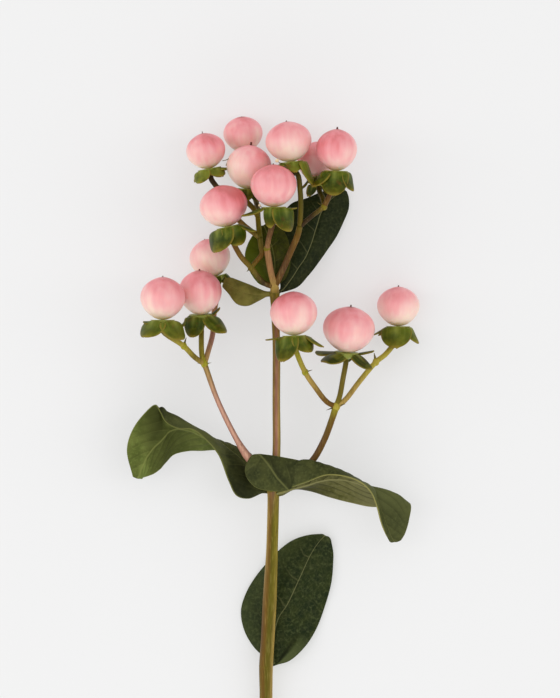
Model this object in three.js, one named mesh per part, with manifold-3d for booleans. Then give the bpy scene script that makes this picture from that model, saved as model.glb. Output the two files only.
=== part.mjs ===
import * as THREE from 'three';
import { mergeVertices } from 'three/addons/utils/BufferGeometryUtils.js';
import Module from 'manifold-3d';

const wasm = await Module();
wasm.setup();

// A cut hypericum stem with pink berries, lying on a table.
// +Y runs along the stem from its cut end to its topmost berries, +X is to the right and +Z is up
// from the table, which is the plane z = 0. All lengths are millimetres and all angles degrees.

// ---------------------------------------------------------------- driving dimensions

const clearance = 0.3; // air between two pieces that touch on the plant
const leafThickness = 0.7;
const sepalThickness = 0.62;
const receptacleRadius = 2.2;
const receptacleHeight = 1.7;
const pedicelRadius = 0.8;
const styleLength = 1.1;
const styleRadius = 0.32;
const styleTilt = 20; // each of a berry's three styles leans outward by this angle
const sepalSpread = 1.3; // how far from the axis a sepal's root sits, inside the receptacle
const sepalRise = 18; // a sepal first rises by this angle along the berry, then bends down
const broadSepal = 4.5; // a sepal wider than this is cupped, a narrower one is flat
const sepalSink = 0.5; // how far a sepal's root lies below the receptacle's top
const sepalCup = 0.16; // how far its edges curl in, as a share of its half width

// How a berry departs from a ball, as shares of its radius.
const berryShape = { lobe: 0.012, baseTaper: 0.1, crownTaper: 0.03, fullness: 0.06, tip: 0.035 };
const berrySegments = 14;
const berryRings = 8;
const tipSharpness = 16; // a high power keeps the tip small

const colours = {
  berry: 0xeea4a6,
  calyx: 0x557228,
  stem: 0x9a7f45,
  stalk: 0xa8835a,
  darkLeaf: 0x3d5230,
  youngLeaf: 0x6f7436,
};

// Each berry: its centre, its width and height, how far its tip leans to the right in the plane of
// the table and how far that tip is lifted off it. Each row of sepals lists, sepal by sepal: the
// turn round the berry (0 faces up from the table, 90 to the right), length, width and droop.
const berries = {
  1: {
    centre: [-20.2, 99.2, 13], width: 11.8, height: 10.6, lean: -11, lift: 0,
    sepals: [
      [-60, 4.8, 4.8, 56], [15, 4.4, 4.2, 72], [84, 4.3, 4.4, 28], [155, 4.6, 4, 40], [228, 4.6, 4, 40],
    ],
  },
  2: {
    centre: [-9.1, 104.4, 5.4], width: 11.8, height: 10.6, lean: -5, lift: 12, onTable: true,
    sepals: [
      [-72, 4.2, 3.6, 50], [0, 4.2, 3.6, 62], [72, 4.2, 3.6, 50], [144, 3.6, 3.4, 66], [216, 3.6, 3.4, 66],
    ],
  },
  3: {
    centre: [-7.3, 94.3, 15], width: 13.5, height: 13, lean: 5, lift: 0,
    sepals: [
      [-84, 3.4, 3.2, 60], [5, 3.8, 3.6, 76], [66, 4.6, 4, 52], [144, 4.6, 4, 50], [216, 4.6, 4, 50],
    ],
  },
  4: {
    centre: [4.6, 101.8, 19], width: 13.8, height: 11.9, lean: -6.5, lift: 0,
    sepals: [
      [-84, 4.8, 3.4, 10], [-40, 3.2, 3.4, 62], [30, 3.1, 3.6, 66], [98, 8.8, 3.4, 60], [180, 5, 4.4, 45],
    ],
  },
  5: {
    centre: [0.1, 88.5, 25.2], width: 13.8, height: 12.5, lean: -1, lift: 0,
    sepals: [
      [-38, 7.6, 5.6, 72], [30, 9.2, 7.8, 70], [-88, 7, 3.4, 16], [104, 3.8, 3, 2], [180, 5, 4.4, 55],
    ],
  },
  6: {
    centre: [-14.8, 82.5, 22], width: 14.4, height: 12.3, lean: -13, lift: 0,
    sepals: [
      [-46, 9.8, 8.8, 58], [22, 7.6, 7, 64], [92, 6.8, 4, 24], [160, 5, 4.4, 50], [228, 5, 4.4, 50],
    ],
  },
  7: {
    centre: [18.9, 99.3, 20.2], width: 12.3, height: 12.3, lean: 2, lift: 0,
    sepals: [
      [-8, 10.8, 9.4, 70], [74, 7.2, 6.8, 56], [-72, 6, 5.4, 46], [150, 5, 4.4, 50], [216, 4.6, 4.2, 56],
    ],
  },
  8: {
    centre: [13.4, 96.1, 9], width: 12.3, height: 12, lean: -3, lift: -20,
    sepals: [
      [-72, 4, 3.6, 50], [0, 4, 3.6, 62], [72, 4, 3.6, 50], [144, 4, 3.6, 50], [216, 4, 3.6, 50],
    ],
  },
  9: {
    centre: [-19, 67.2, 5.7], width: 12.4, height: 11.4, lean: -16, lift: 0, onTable: true,
    sepals: [
      [-72, 4, 3.6, 52], [0, 3.4, 3.2, 70], [72, 3.4, 3.2, 60], [144, 3.8, 3.4, 56], [216, 3.8, 3.4, 56],
    ],
  },
  10: {
    centre: [-21.9, 56.7, 15], width: 12.9, height: 13.2, lean: -2, lift: 8,
    sepals: [
      [50, 8.4, 7.4, 46], [-20, 6.8, 6, 66], [108, 6.6, 2.8, -4], [-88, 5, 4, 50], [196, 5, 4.4, 50],
    ],
  },
  11: {
    centre: [-33, 54.9, 22.8], width: 13.4, height: 12.6, lean: 0, lift: 0,
    sepals: [
      [-50, 8, 7.4, 48], [44, 8.6, 7.4, 46], [118, 5.4, 4.4, 50], [180, 5.4, 4.4, 50], [242, 5.4, 4.4, 50],
    ],
  },
  12: {
    centre: [6.1, 50.4, 23.4], width: 14.1, height: 12.9, lean: -2, lift: 0,
    sepals: [
      [-38, 10.2, 8.4, 60], [44, 7.6, 7, 40], [84, 9.6, 3.6, 22], [-96, 7.6, 3, 8], [180, 5.4, 4.4, 50],
    ],
  },
  13: {
    centre: [22.6, 45.6, 16], width: 15.6, height: 13.6, lean: 5, lift: 8,
    sepals: [
      [-74, 10, 5.6, 10], [-26, 8.4, 8, 40], [54, 8.6, 7.2, 38], [100, 8, 3, 0], [180, 5.4, 4.4, 50],
    ],
  },
  14: {
    centre: [37.6, 52.6, 5.9], width: 12.8, height: 11.7, lean: 0.5, lift: 0, onTable: true,
    sepals: [
      [-34, 8.2, 7.4, 60], [22, 8.6, 7.6, 64], [74, 7.2, 5.6, 52], [-86, 7, 3.4, 32], [176, 4.6, 4, 60],
    ],
  },
};

// The main stem from its cut end up to the top node: x, y, z and radius.
const stemRoute = [
  [-2.8, -109.5, 2.1, 2.05],
  [-2.3, -83.4, 3.6, 1.95],
  [-2.2, -63, 5, 1.95],
  [-2.2, -55.8, 5.6, 2.1],
  [-1.7, -47.4, 6.5, 2.05],
  [-1.1, -35.4, 8, 2.1],
  [-0.4, -20.4, 9.8, 1.75],
  [0, -5.4, 11.7, 1.75],
  [0, -1.2, 12.3, 1.9],
  [0.9, 8.1, 13.2, 1.2],
  [0.9, 24.6, 14.6, 1.15],
  [0.9, 42.6, 15.8, 1.15],
  [0.4, 53.4, 16.4, 1.2],
  [0.4, 56.6, 16.6, 1.6],
];
// A node is a ring-shaped swelling of the stem: centre and radius.
const stemNodes = [
  { at: [-2.2, -55.5, 5.6], radius: 2.5 },
  { at: [-0.1, -1.8, 12.2], radius: 2.25 },
];
const cutSlant = 28; // angle of the cut across the stem's lower end

// Leaf blades. Each row crosses the blade once, from one margin to the other, and the rows run
// from the leaf's base to its tip.
const lowerLeaf = [
  // left margin, midrib, right margin
  [[-0.2, -54, 3.1], [0.4, -54.6, 3.1], [1, -55.2, 3.1]],
  [[-4.6, -51.3, 2.2], [-0.4, -50.4, 3], [4.7, -54.1, 3.4]],
  [[-8.5, -45.6, 1.1], [0.4, -45.3, 3.1], [9.5, -49.8, 2.6]],
  [[-9.7, -39.3, 0.6], [1.7, -40.8, 3.4], [13.1, -44.1, 1.7]],
  [[-8.2, -33.8, 0.6], [4.1, -37.2, 3.8], [15.8, -36.9, 1.3]],
  [[-5.5, -28.9, 0.8], [6.4, -32.4, 4], [17.3, -30.9, 1.2]],
  [[-2.2, -24.8, 1.2], [8.2, -28.5, 4], [17.9, -25.5, 1.3]],
  [[1.7, -20.8, 1.6], [10.1, -24.3, 3.7], [18.1, -21.6, 1.5]],
  [[5.9, -17.7, 1.8], [12.5, -19.9, 3.1], [17.6, -18.9, 1.6]],
  [[10.4, -16.2, 1.8], [14.5, -17.4, 2.5], [17.2, -17.4, 1.6]],
  [[14.3, -15.9, 1.6], [15.7, -16.3, 1.9], [16.7, -16.9, 1.6]],
];
const leftLeaf = [
  // near margin, crest of the near half, midrib, far half, far margin
  [[-3.1, -3.3, 11.3], [-3.1, -2.9, 11.5], [-3.1, -2.4, 11.4], [-3.1, -1.9, 11], [-3.1, -1.5, 10.6]],
  [[-7.3, -5, 11.8], [-7, -1.5, 11.6], [-6.7, 2.4, 10.8], [-6.4, 5.7, 9.8], [-6.4, 8.1, 8.4]],
  [[-10.9, -4.2, 13], [-10.3, 1.5, 12.6], [-9.8, 6.9, 11.4], [-9.7, 9.3, 9.8], [-9.8, 9.6, 7.6]],
  [[-13.3, 0.3, 14.6], [-13.3, 5.7, 13.8], [-13.3, 9.8, 12], [-13, 11.2, 9.8], [-13, 9, 7]],
  [[-16.3, 8.1, 16.4], [-16.6, 11.1, 15], [-16.9, 12.6, 12.8], [-16.9, 12, 10.2], [-17.2, 9.6, 7.4]],
  [[-20.2, 12.8, 17.4], [-20.5, 14.8, 15.8], [-20.8, 13.8, 13], [-21.1, 11.7, 10.6], [-21.4, 9.4, 8]],
  [[-24.1, 15.8, 17.8], [-24.4, 16.8, 15.8], [-24.4, 15.4, 13], [-25, 12.6, 10.4], [-25.6, 9.3, 7.8]],
  [[-28.6, 16.1, 18.2], [-28.6, 19.5, 16.2], [-28.9, 16.1, 13.2], [-29.2, 12.3, 10.8], [-30.1, 8.1, 8.6]],
  [[-32.2, 18.1, 18.4], [-31.9, 21, 16.6], [-31.6, 15.1, 13.6], [-31.3, 10.8, 11.2], [-32.2, 6, 9]],
  [[-33.8, 21, 18.3], [-33.5, 22.2, 17], [-32.6, 13.8, 13.7], [-32.3, 9.6, 11.4], [-33.1, 5, 9.2]],
  [[-35.3, 23.2, 17.6], [-34.7, 20.7, 16.8], [-34, 12.3, 13.6], [-33.4, 8.4, 11.4], [-34, 3.9, 9.4]],
  [[-38.8, 20.4, 16.8], [-37.6, 15.3, 15.6], [-36.4, 9.9, 13.2], [-35.8, 6.3, 11.2], [-35.9, 2.5, 9.4]],
  [[-42.4, 15.3, 15.2], [-40.3, 11.4, 14.4], [-38.2, 7.2, 12.4], [-37.6, 4.2, 11], [-37.7, 1.8, 9.6]],
  [[-43.9, 9.6, 13.4], [-41.8, 6.9, 12.8], [-39.5, 4.3, 11.4], [-39.2, 2.5, 10.6], [-39.4, 1.2, 9.8]],
  [[-42.8, 3.6, 11.4], [-41.9, 2.7, 11.1], [-41, 1.9, 10.7], [-40.7, 1.3, 10.3], [-40.6, 0.8, 9.9]],
];
const rightLeaf = [
  // near margin, crest of the near half, midrib, far half, far margin
  [[2.9, -2.9, 15.4], [2.8, -2.5, 14.8], [2.6, -3, 14.2], [2.7, -3.4, 13.6], [2.8, -3.9, 13]],
  [[6.2, -1.3, 18], [5.6, 4.5, 17], [5.6, -1.9, 14.2], [5.8, -2.1, 12.8], [6.2, -2.2, 11.4]],
  [[10.1, 0.1, 19.8], [9.2, 6.5, 17.3], [9.8, -0.8, 14], [10.3, -1.5, 11.7], [11, -2.7, 9.2]],
  [[15.8, 2.2, 20.6], [15.2, 5.2, 17.6], [15.5, 0.8, 13.4], [16.1, -1.8, 10.4], [17, -4.6, 7.4]],
  [[21.5, 1.8, 20], [21.2, 3, 17.2], [21.2, 0.9, 13.2], [22.4, -2.5, 10], [23.6, -6.3, 7]],
  [[26.3, -0.1, 18.6], [26.3, 0.2, 16], [26, -0.4, 13.6], [28.4, -3.6, 10.6], [30.2, -7.5, 7.6]],
  [[29.3, -3.1, 17], [29.5, -1.8, 15.4], [29.9, -2.1, 13.4], [33.2, -2.5, 11.6], [36.5, -6.6, 8.4]],
  [[31.1, -7.5, 15.4], [31.3, -6.6, 14], [31.7, -6.5, 12.6], [36.8, -4.3, 11.8], [41, -6.6, 9.6]],
  [[32.3, -12, 13.8], [32.6, -11.7, 12.8], [33.4, -11.4, 11.8], [37.1, -10.8, 11], [40.7, -11.4, 9.4]],
  [[34.4, -16.5, 11.2], [34.6, -16.5, 10.9], [35, -16.5, 10.6], [36.8, -16.2, 10.2], [38.9, -16.1, 9.4]],
  [[35.3, -17.8, 10.2], [35.6, -18, 10.1], [36, -18.1, 10], [36.5, -18, 9.9], [37.1, -17.8, 9.7]],
];
// The right leaf's base clasps the stem with a lobe that curls over its upper side.
const rightLeafLobe = [
  // lower margin, vein, upper margin
  [[8.9, 0, 17.6], [9.2, 3.3, 16.4], [9.8, 6.1, 15.4]],
  [[5, -2.1, 17.4], [5.5, 2.4, 18.2], [5.6, 7, 17.2]],
  [[2, -2.7, 17.4], [2.3, 2.7, 18.6], [2.3, 7.6, 17.2]],
  [[-1.6, -2.5, 17.3], [-1, 4.2, 18.6], [-1, 8.1, 17.1]],
  [[-5.2, -1.5, 17], [-4.1, 4.5, 18.2], [-4, 8.4, 16.9]],
  [[-7.6, 0.9, 16.5], [-7, 4.8, 17.5], [-6.2, 8.2, 16.8]],
  [[-8.4, 3, 16.2], [-8.2, 4.5, 16.6], [-7.7, 6.1, 16.5]],
];
const topRightLeaf = [
  // left margin, midrib, right margin
  [[2, 57.9, 13.7], [2.5, 57.4, 13.7], [2.9, 57, 13.7]],
  [[1.7, 61.8, 12.6], [5.3, 60.9, 12.4], [7.4, 58.6, 10.8]],
  [[0.8, 66.6, 11.2], [7.7, 64.6, 10.8], [10.3, 61.9, 8.6]],
  [[0.5, 71.1, 9.8], [9.8, 67.8, 9.4], [12.8, 65.2, 6.9]],
  [[1.1, 75.6, 8.6], [11.6, 72.3, 8], [16.1, 69.6, 5.2]],
  [[2.6, 80.1, 7.6], [13, 76.8, 6.8], [19, 73.6, 3.8]],
  [[5.3, 83.5, 6.6], [14.3, 80.8, 5.6], [21.2, 78.3, 2.7]],
  [[9.8, 85.2, 5], [16.4, 84, 4.4], [22.6, 82.2, 1.8]],
  [[15.5, 87.5, 3.2], [19.3, 86.4, 3], [22.6, 85.5, 1.4]],
  [[20.9, 88.3, 1.8], [21.5, 87.8, 1.7], [22.1, 87.2, 1.4]],
];
const topBackLeaf = [
  // left margin, midrib, right margin
  [[-0.8, 58, 14.2], [-0.1, 58.3, 14.75], [0.7, 58.5, 14.5]],
  [[-4.3, 59.5, 13.2], [0.2, 61.2, 14.4], [3.5, 60.9, 13.9]],
  [[-7, 63.1, 12.6], [0.5, 65.4, 14.5], [5, 64.8, 14]],
  [[-8.5, 67.5, 12], [-0.1, 69.5, 14.2], [5, 70.2, 13.8]],
  [[-7.6, 71.4, 11.8], [-1.3, 72.9, 13.6], [3.8, 74.1, 13.4]],
  [[-5.6, 74.7, 11.8], [-2.3, 75.8, 12.8], [1.1, 77, 12.8]],
  [[-4.1, 76.5, 11.8], [-2.9, 77, 12], [-1.7, 77.4, 12]],
];
const topLeftLeaf = [
  // upper margin, midrib, lower margin
  [[-1.9, 57.1, 15.8], [-1.9, 56.4, 16.2], [-1.9, 55.6, 15.8]],
  [[-4, 57.8, 13.8], [-4, 56.1, 15.4], [-4.3, 54.4, 14.6]],
  [[-7, 59.1, 12], [-7, 56.4, 14.2], [-7.7, 52.8, 13.6]],
  [[-10.3, 60.4, 10.4], [-10.1, 57.4, 12.6], [-10.9, 53.4, 12.4]],
  [[-13, 61.3, 9.2], [-12.8, 58.9, 11], [-13.4, 56.5, 10.8]],
  [[-14.8, 60.9, 8.8], [-14.9, 59.8, 9.4], [-15.2, 58.5, 9.4]],
];

// ---------------------------------------------------------------- helpers

const vector = ([x, y, z]) => new THREE.Vector3(x, y, z);

function closedSolid(geometry) {
  const bare = new THREE.BufferGeometry();
  bare.setAttribute('position', geometry.getAttribute('position'));
  bare.setIndex(geometry.getIndex());
  const merged = mergeVertices(bare, 1e-4);
  return new wasm.Manifold(new wasm.Mesh({
    numProp: 3,
    vertProperties: new Float32Array(merged.getAttribute('position').array),
    triVerts: new Uint32Array(merged.getIndex().array),
  }));
}

function geometryOf(solid) {
  const { vertProperties, triVerts } = solid.getMesh();
  const geometry = new THREE.BufferGeometry();
  geometry.setAttribute('position', new THREE.BufferAttribute(new Float32Array(vertProperties), 3));
  geometry.setIndex(new THREE.BufferAttribute(new Uint32Array(triVerts), 1));
  geometry.computeVertexNormals();
  return geometry;
}

function fused(geometries) {
  return geometries.map(closedSolid).reduce((whole, piece) => whole.add(piece));
}

function piece(name, solid, colour, roughness) {
  const material = new THREE.MeshStandardMaterial({ color: colour, roughness, metalness: 0 });
  const mesh = new THREE.Mesh(geometryOf(solid), material);
  mesh.name = name;
  return mesh;
}

// A round rod along a route of [x, y, z, radius]: a closed cylinder bent ring by ring.
function rod(route, sides, steps) {
  const curve = new THREE.CatmullRomCurve3(route.map(vector));
  const frames = curve.computeFrenetFrames(steps);
  const geometry = new THREE.CylinderGeometry(1, 1, 1, sides, steps);
  const position = geometry.getAttribute('position');
  for (let i = 0; i < position.count; i += 1) {
    const u = THREE.MathUtils.clamp(position.getY(i) + 0.5, 0, 1);
    const ring = Math.round(u * steps);
    const place = curve.getUtoTmapping(u) * (route.length - 1);
    const from = Math.min(Math.floor(place), route.length - 2);
    const radius = THREE.MathUtils.lerp(route[from][3], route[from + 1][3], place - from);
    const point = curve.getPointAt(u)
      .addScaledVector(frames.binormals[ring], radius * position.getX(i))
      .addScaledVector(frames.normals[ring], radius * position.getZ(i));
    position.setXYZ(i, point.x, point.y, point.z);
  }
  return geometry;
}

// A swelling on a stalk: a small round ball, a little longer than wide.
function knuckle(at, radius) {
  return new THREE.SphereGeometry(radius, 6, 4).scale(1, 1.15, 1).translate(...at);
}

// A bract: a small pointed scale rooted in a stalk.
function bract(at, towards, length, radius) {
  const direction = vector(towards).normalize();
  const turn = new THREE.Quaternion().setFromUnitVectors(new THREE.Vector3(0, 1, 0), direction);
  return new THREE.ConeGeometry(radius, length, 4)
    .translate(0, length / 2 - radius / 2, 0)
    .applyQuaternion(turn)
    .translate(...at);
}

// A thin blade lofted through rows of points, thickened to both sides and closed by a rim.
// Both faces are split along the same diagonals, so they stay parallel where the blade waves.
function blade(rows, { along, across, thickness, wave = 0, ripples = 0 }) {
  const rails = rows[0].map((_, k) => new THREE.CatmullRomCurve3(rows.map((row) => vector(row[k]))));
  const onBlade = (u, v) => new THREE.CatmullRomCurve3(rails.map((rail) => rail.getPoint(u))).getPoint(v);
  const step = 1e-3;
  const faces = [[], []];
  for (let i = 0; i <= along; i += 1) {
    for (let j = 0; j <= across; j += 1) {
      const u = i / along;
      const v = j / across;
      const [u0, u1] = [Math.max(u - step, 0), Math.min(u + step, 1)];
      const [v0, v1] = [Math.max(v - step, 0), Math.min(v + step, 1)];
      const alongBlade = onBlade(u1, v).sub(onBlade(u0, v));
      const acrossBlade = onBlade(u, v1).sub(onBlade(u, v0));
      const normal = acrossBlade.cross(alongBlade).normalize();
      const edge = Math.abs(2 * v - 1) ** 3 * Math.sin(Math.PI * u);
      const lift = wave * edge * Math.sin(2 * Math.PI * ripples * u + Math.PI * v);
      const point = onBlade(u, v).addScaledVector(normal, lift);
      faces[0].push(point.clone().addScaledVector(normal, thickness / 2));
      faces[1].push(point.clone().addScaledVector(normal, -thickness / 2));
    }
  }
  const under = faces[0].length;
  const at = (i, j) => i * (across + 1) + j;
  const index = [];
  for (let i = 0; i < along; i += 1) {
    for (let j = 0; j < across; j += 1) {
      const [a, b, c, d] = [at(i, j), at(i, j + 1), at(i + 1, j), at(i + 1, j + 1)];
      index.push(a, b, d, a, d, c);
      index.push(under + a, under + d, under + b, under + a, under + c, under + d);
    }
  }
  const rim = [];
  for (let j = 0; j < across; j += 1) rim.push(at(0, j));
  for (let i = 0; i < along; i += 1) rim.push(at(i, across));
  for (let j = across; j > 0; j -= 1) rim.push(at(along, j));
  for (let i = along; i > 0; i -= 1) rim.push(at(i, 0));
  rim.forEach((p, k) => {
    const q = rim[(k + 1) % rim.length];
    index.push(p, under + p, under + q, p, under + q, q);
  });
  const geometry = new THREE.BufferGeometry().setFromPoints(faces.flat());
  geometry.setIndex(index);
  return geometry;
}

// ---------------------------------------------------------------- berries and calyces

// The frame of a berry: Y along its axis to the tip, Z on the side that faces up.
function berryFrame({ centre, lean, lift }) {
  const [turn, rise] = [lean, lift].map(THREE.MathUtils.degToRad);
  const axis = new THREE.Vector3(
    Math.sin(turn) * Math.cos(rise),
    Math.cos(turn) * Math.cos(rise),
    Math.sin(rise),
  );
  const front = new THREE.Vector3(0, 0, 1).addScaledVector(axis, -axis.z).normalize();
  const right = new THREE.Vector3().crossVectors(axis, front);
  return new THREE.Matrix4().makeBasis(right, axis, front).setPosition(...centre);
}

// A berry is a slightly flattened ball, narrower below than above, with three faint lobes and a
// short tip that carries three dried styles.
function berrySolid({ width, height, centre, lean, lift, onTable }) {
  const ball = new THREE.SphereGeometry(1, berrySegments, berryRings);
  const position = ball.getAttribute('position');
  for (let i = 0; i < position.count; i += 1) {
    const [x, y, z] = [position.getX(i), position.getY(i), position.getZ(i)];
    const lobe = 1 + berryShape.lobe * Math.cos(3 * Math.atan2(x, z));
    const taper = (y < 0 ? berryShape.baseTaper : berryShape.crownTaper) * y * y;
    const radius = (width / 2) * lobe * (1 - taper);
    const tip = berryShape.tip * Math.max(0, y) ** tipSharpness;
    const rise = (height / 2) * (y + berryShape.fullness * (1 - y * y) + tip);
    position.setXYZ(i, x * radius, rise, z * radius);
  }
  const styles = [0, 1, 2].map((k) => new THREE.ConeGeometry(styleRadius, styleLength, 4)
    .translate(0, styleLength / 2, 0)
    .rotateX(THREE.MathUtils.degToRad(styleTilt))
    .rotateY((k * 2 * Math.PI) / 3)
    .translate(0, height / 2 - styleLength / 2, 0));
  const berry = fused([ball, ...styles]);
  if (!onTable) return berry;
  const tableTop = new THREE.BoxGeometry(4 * width, 4 * width, width);
  tableTop.translate(centre[0], centre[1], -width / 2);
  tableTop.applyMatrix4(berryFrame({ centre, lean, lift }).invert());
  return berry.subtract(closedSolid(tableTop));
}

// A sepal leaves the receptacle level and bends down past it: rows of left edge, midline and
// right edge in the berry's frame.
function sepal(height, [turn, length, width, droop]) {
  const shape = [0.3, 1, 0.96, 0.4];
  const outward = new THREE.Vector3(0, 0, 1).applyAxisAngle(
    new THREE.Vector3(0, 1, 0),
    THREE.MathUtils.degToRad(turn),
  );
  const sideways = new THREE.Vector3(outward.z, 0, -outward.x);
  const step = length / (shape.length - 1);
  const point = outward.clone().multiplyScalar(sepalSpread);
  point.y = -height / 2 - clearance - sepalSink;
  const rows = shape.map((part, k) => {
    const fall = THREE.MathUtils.degToRad(k === 0 ? Math.min(droop, -sepalRise) : droop);
    const skin = outward.clone().multiplyScalar(Math.sin(fall)).setY(Math.cos(fall));
    const half = (part * width) / 2;
    const cupped = point.clone().addScaledVector(skin, -sepalCup * half);
    const row = [
      cupped.clone().addScaledVector(sideways, -half).toArray(),
      point.toArray(),
      cupped.clone().addScaledVector(sideways, half).toArray(),
    ];
    point.addScaledVector(outward, step * Math.cos(fall));
    point.y -= step * Math.sin(fall);
    return row;
  });
  const [along, across] = width > broadSepal ? [3, 2] : [2, 1];
  return blade(rows, { along, across, thickness: sepalThickness });
}

function calyxSolid({ height, sepals }) {
  const top = -height / 2 - clearance;
  const bottom = top - receptacleHeight;
  const profile = [
    [0, bottom],
    [pedicelRadius + 0.15, bottom],
    [receptacleRadius, top - 0.5 * receptacleHeight],
    [0.95 * receptacleRadius, top],
    [0, top],
  ].map(([x, y]) => new THREE.Vector2(x, y));
  const receptacle = new THREE.LatheGeometry(profile, 6);
  return fused([receptacle, ...sepals.map((row) => sepal(height, row))]);
}

// The point where a pedicel ends under a berry's calyx, or further down the berry's axis.
function under(number, distance = 0) {
  const berry = berries[number];
  const drop = berry.height / 2 + receptacleHeight + 2 * clearance + distance;
  return new THREE.Vector3(0, -drop, 0).applyMatrix4(berryFrame(berry)).toArray();
}

function fruit(number) {
  const berry = berries[number];
  const label = String(number).padStart(2, '0');
  const group = new THREE.Group();
  group.applyMatrix4(berryFrame(berry));
  group.add(piece(`berry_${label}`, berrySolid(berry), colours.berry, 0.35));
  group.add(piece(`calyx_${label}`, calyxSolid(berry), colours.calyx, 0.6));
  return group;
}

// ---------------------------------------------------------------- stem and stalks

function mainStem() {
  const swellings = stemNodes.map(({ at, radius }) => (
    new THREE.SphereGeometry(radius, 8, 6).scale(1, 0.95, 1).translate(...at)));
  const body = fused([rod(stemRoute, 8, 20), ...swellings]);
  const [x, y] = stemRoute[0];
  const saw = new THREE.BoxGeometry(20, 10, 20)
    .translate(0, -5, 0)
    .rotateX(THREE.MathUtils.degToRad(-cutSlant))
    .translate(x, y + 1.6, 2);
  return body.subtract(closedSolid(saw));
}

const thin = (point, radius = pedicelRadius) => [...point.slice(0, 3), radius];

function pedicel(start, number, bends = [], steps = 8) {
  const bent = bends.map((bend) => thin(bend));
  return rod([thin(start), ...bent, thin(under(number, 1.6)), thin(under(number))], 5, steps);
}

function leftSpray() {
  const fork = [-20.6, 35.4, 15.2];
  const knee = [-26.8, 40.8, 18.6];
  return fused([
    rod([
      [-2.1, 0.6, 14.2, 0.8], [-5.2, 4.5, 14.6, 1.15], [-8.3, 8.1, 15.2, 1.35], [-11, 12.9, 15.4, 1],
      [-16.4, 24.3, 15.4, 0.95], thin(fork, 1),
    ], 7, 11),
    knuckle(fork, 1.25),
    pedicel(fork, 11, [[-23.5, 37.4, 16.4], knee], 8),
    knuckle(knee, 1.2),
    pedicel(fork, 10, [[-21.4, 38.1, 15]], 6),
    pedicel(fork, 9, [[-19.6, 39, 13.2], [-18.2, 44.4, 9.6], [-17.8, 51, 6.2]], 8),
    bract(knee, [-0.9, 0.75, 0.1], 6.2, 0.75),
    bract(knee, [0.3, 1, 0], 3, 0.6),
    bract(fork, [-1, 0.1, 0.4], 2.6, 0.6),
    bract(fork, [1, 0.2, 0.2], 2.4, 0.6),
  ]);
}

function rightSpray() {
  const fork = [18.8, 22.6, 14];
  const knee = [9.5, 33, 18.5];
  const elbow = [30.8, 36, 9.6];
  return fused([
    rod([
      [2.9, 0.4, 12.6, 0.8], [7.1, 2.7, 12.6, 0.95], [11.6, 6.3, 12.8, 1], [15.1, 12.3, 13.4, 0.95],
      [17.6, 18.9, 13.8, 0.95], thin(fork, 1.05),
    ], 7, 10),
    knuckle(fork, 1.4),
    pedicel(fork, 12, [[16.1, 24, 14.8], [12.5, 28.5, 16.8], knee], 9),
    knuckle(knee, 1.15),
    pedicel(fork, 13, [[19.9, 25.8, 14.2], [20.9, 31.2, 14.6]], 7),
    pedicel(fork, 14, [[21.5, 24.6, 13.6], [25.7, 30, 11.6], elbow, [33.8, 38.4, 8]], 9),
    knuckle(elbow, 1.25),
    bract(fork, [-1, -0.35, 0.3], 3.6, 0.7),
    bract(fork, [1, 0.3, 0.2], 3.4, 0.7),
    bract(elbow, [-0.2, 1, 0.1], 3.2, 0.7),
    bract(knee, [1, 0.3, 0.1], 2.6, 0.6),
  ]);
}

function topSpray() {
  const crown = [0.4, 56.9, 16.6];
  const base = [0.4, 58.5, 16.8];
  const leftFork = [-6.7, 64.3, 17.6];
  const middleFork = [-1.9, 69.9, 18.6];
  const backFork = [-4, 73.2, 17.2];
  const lowFork = [-4.6, 79.5, 15.4];
  const rightFork = [7.9, 76.5, 17.6];
  const rightKnee = [15.2, 82.5, 17.3];
  return fused([
    rod([thin(crown, 1.55), thin(base, 1.3)], 8, 1),
    knuckle(base, 1.3),
    rod([thin(base, 0.9), [-2.8, 59.7, 17, 0.8], thin(leftFork, 0.85)], 5, 4),
    knuckle(leftFork, 1.2),
    pedicel(leftFork, 6, [[-9.7, 67.6, 19.6]], 6),
    rod([thin(base, 1), [-0.8, 63.3, 17.8, 0.95], thin(middleFork, 0.95)], 5, 4),
    knuckle(middleFork, 1.3),
    pedicel(middleFork, 5, [[-1.3, 73.2, 21]], 6),
    rod([
      thin(leftFork, 0.75), [-5, 66.3, 17.2, 0.7], [-3.4, 68.4, 17, 0.75], [-3.7, 70.8, 17, 0.8],
      thin(backFork, 0.85),
    ], 5, 6),
    rod([thin(backFork, 0.85), [-4.4, 76.8, 16.4, 0.8], thin(lowFork, 0.8)], 5, 3),
    pedicel(lowFork, 3, [[-5.9, 81.9, 15]], 5),
    pedicel(lowFork, 2, [[-4.9, 83.1, 9.6], [-6.4, 88.2, 4.6], [-7.7, 93.6, 3.4]], 9),
    pedicel(backFork, 1, [[-10, 78.1, 15.4], [-14.2, 83.7, 13.6], [-17, 88.5, 13]], 8),
    rod([
      thin(base, 1), [2.9, 63.9, 17, 0.95], [5.3, 69.3, 17.3, 0.95], [7.1, 73.5, 17.5, 0.95],
      thin(rightFork, 0.9),
    ], 6, 7),
    pedicel(rightFork, 4, [[8.2, 82.2, 17.8], [8, 87.6, 18.2], [7.1, 92.4, 18.7]], 7),
    rod([thin(rightFork, 0.7), [11.3, 79.5, 17.4, 0.7], thin(rightKnee, 0.75)], 5, 4),
    knuckle(rightKnee, 1.3),
    pedicel(rightKnee, 7, [[16.6, 85.5, 18.4]], 6),
    pedicel(rightKnee, 8, [[14.8, 84.9, 15]], 5),
    bract(rightKnee, [-1, 0.6, 0.1], 2.6, 0.6),
    bract(leftFork, [-0.6, -0.6, 0.3], 2.2, 0.6),
    bract(middleFork, [1, 0.5, 0.2], 2.4, 0.6),
  ]);
}

// ---------------------------------------------------------------- assembly

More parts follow.
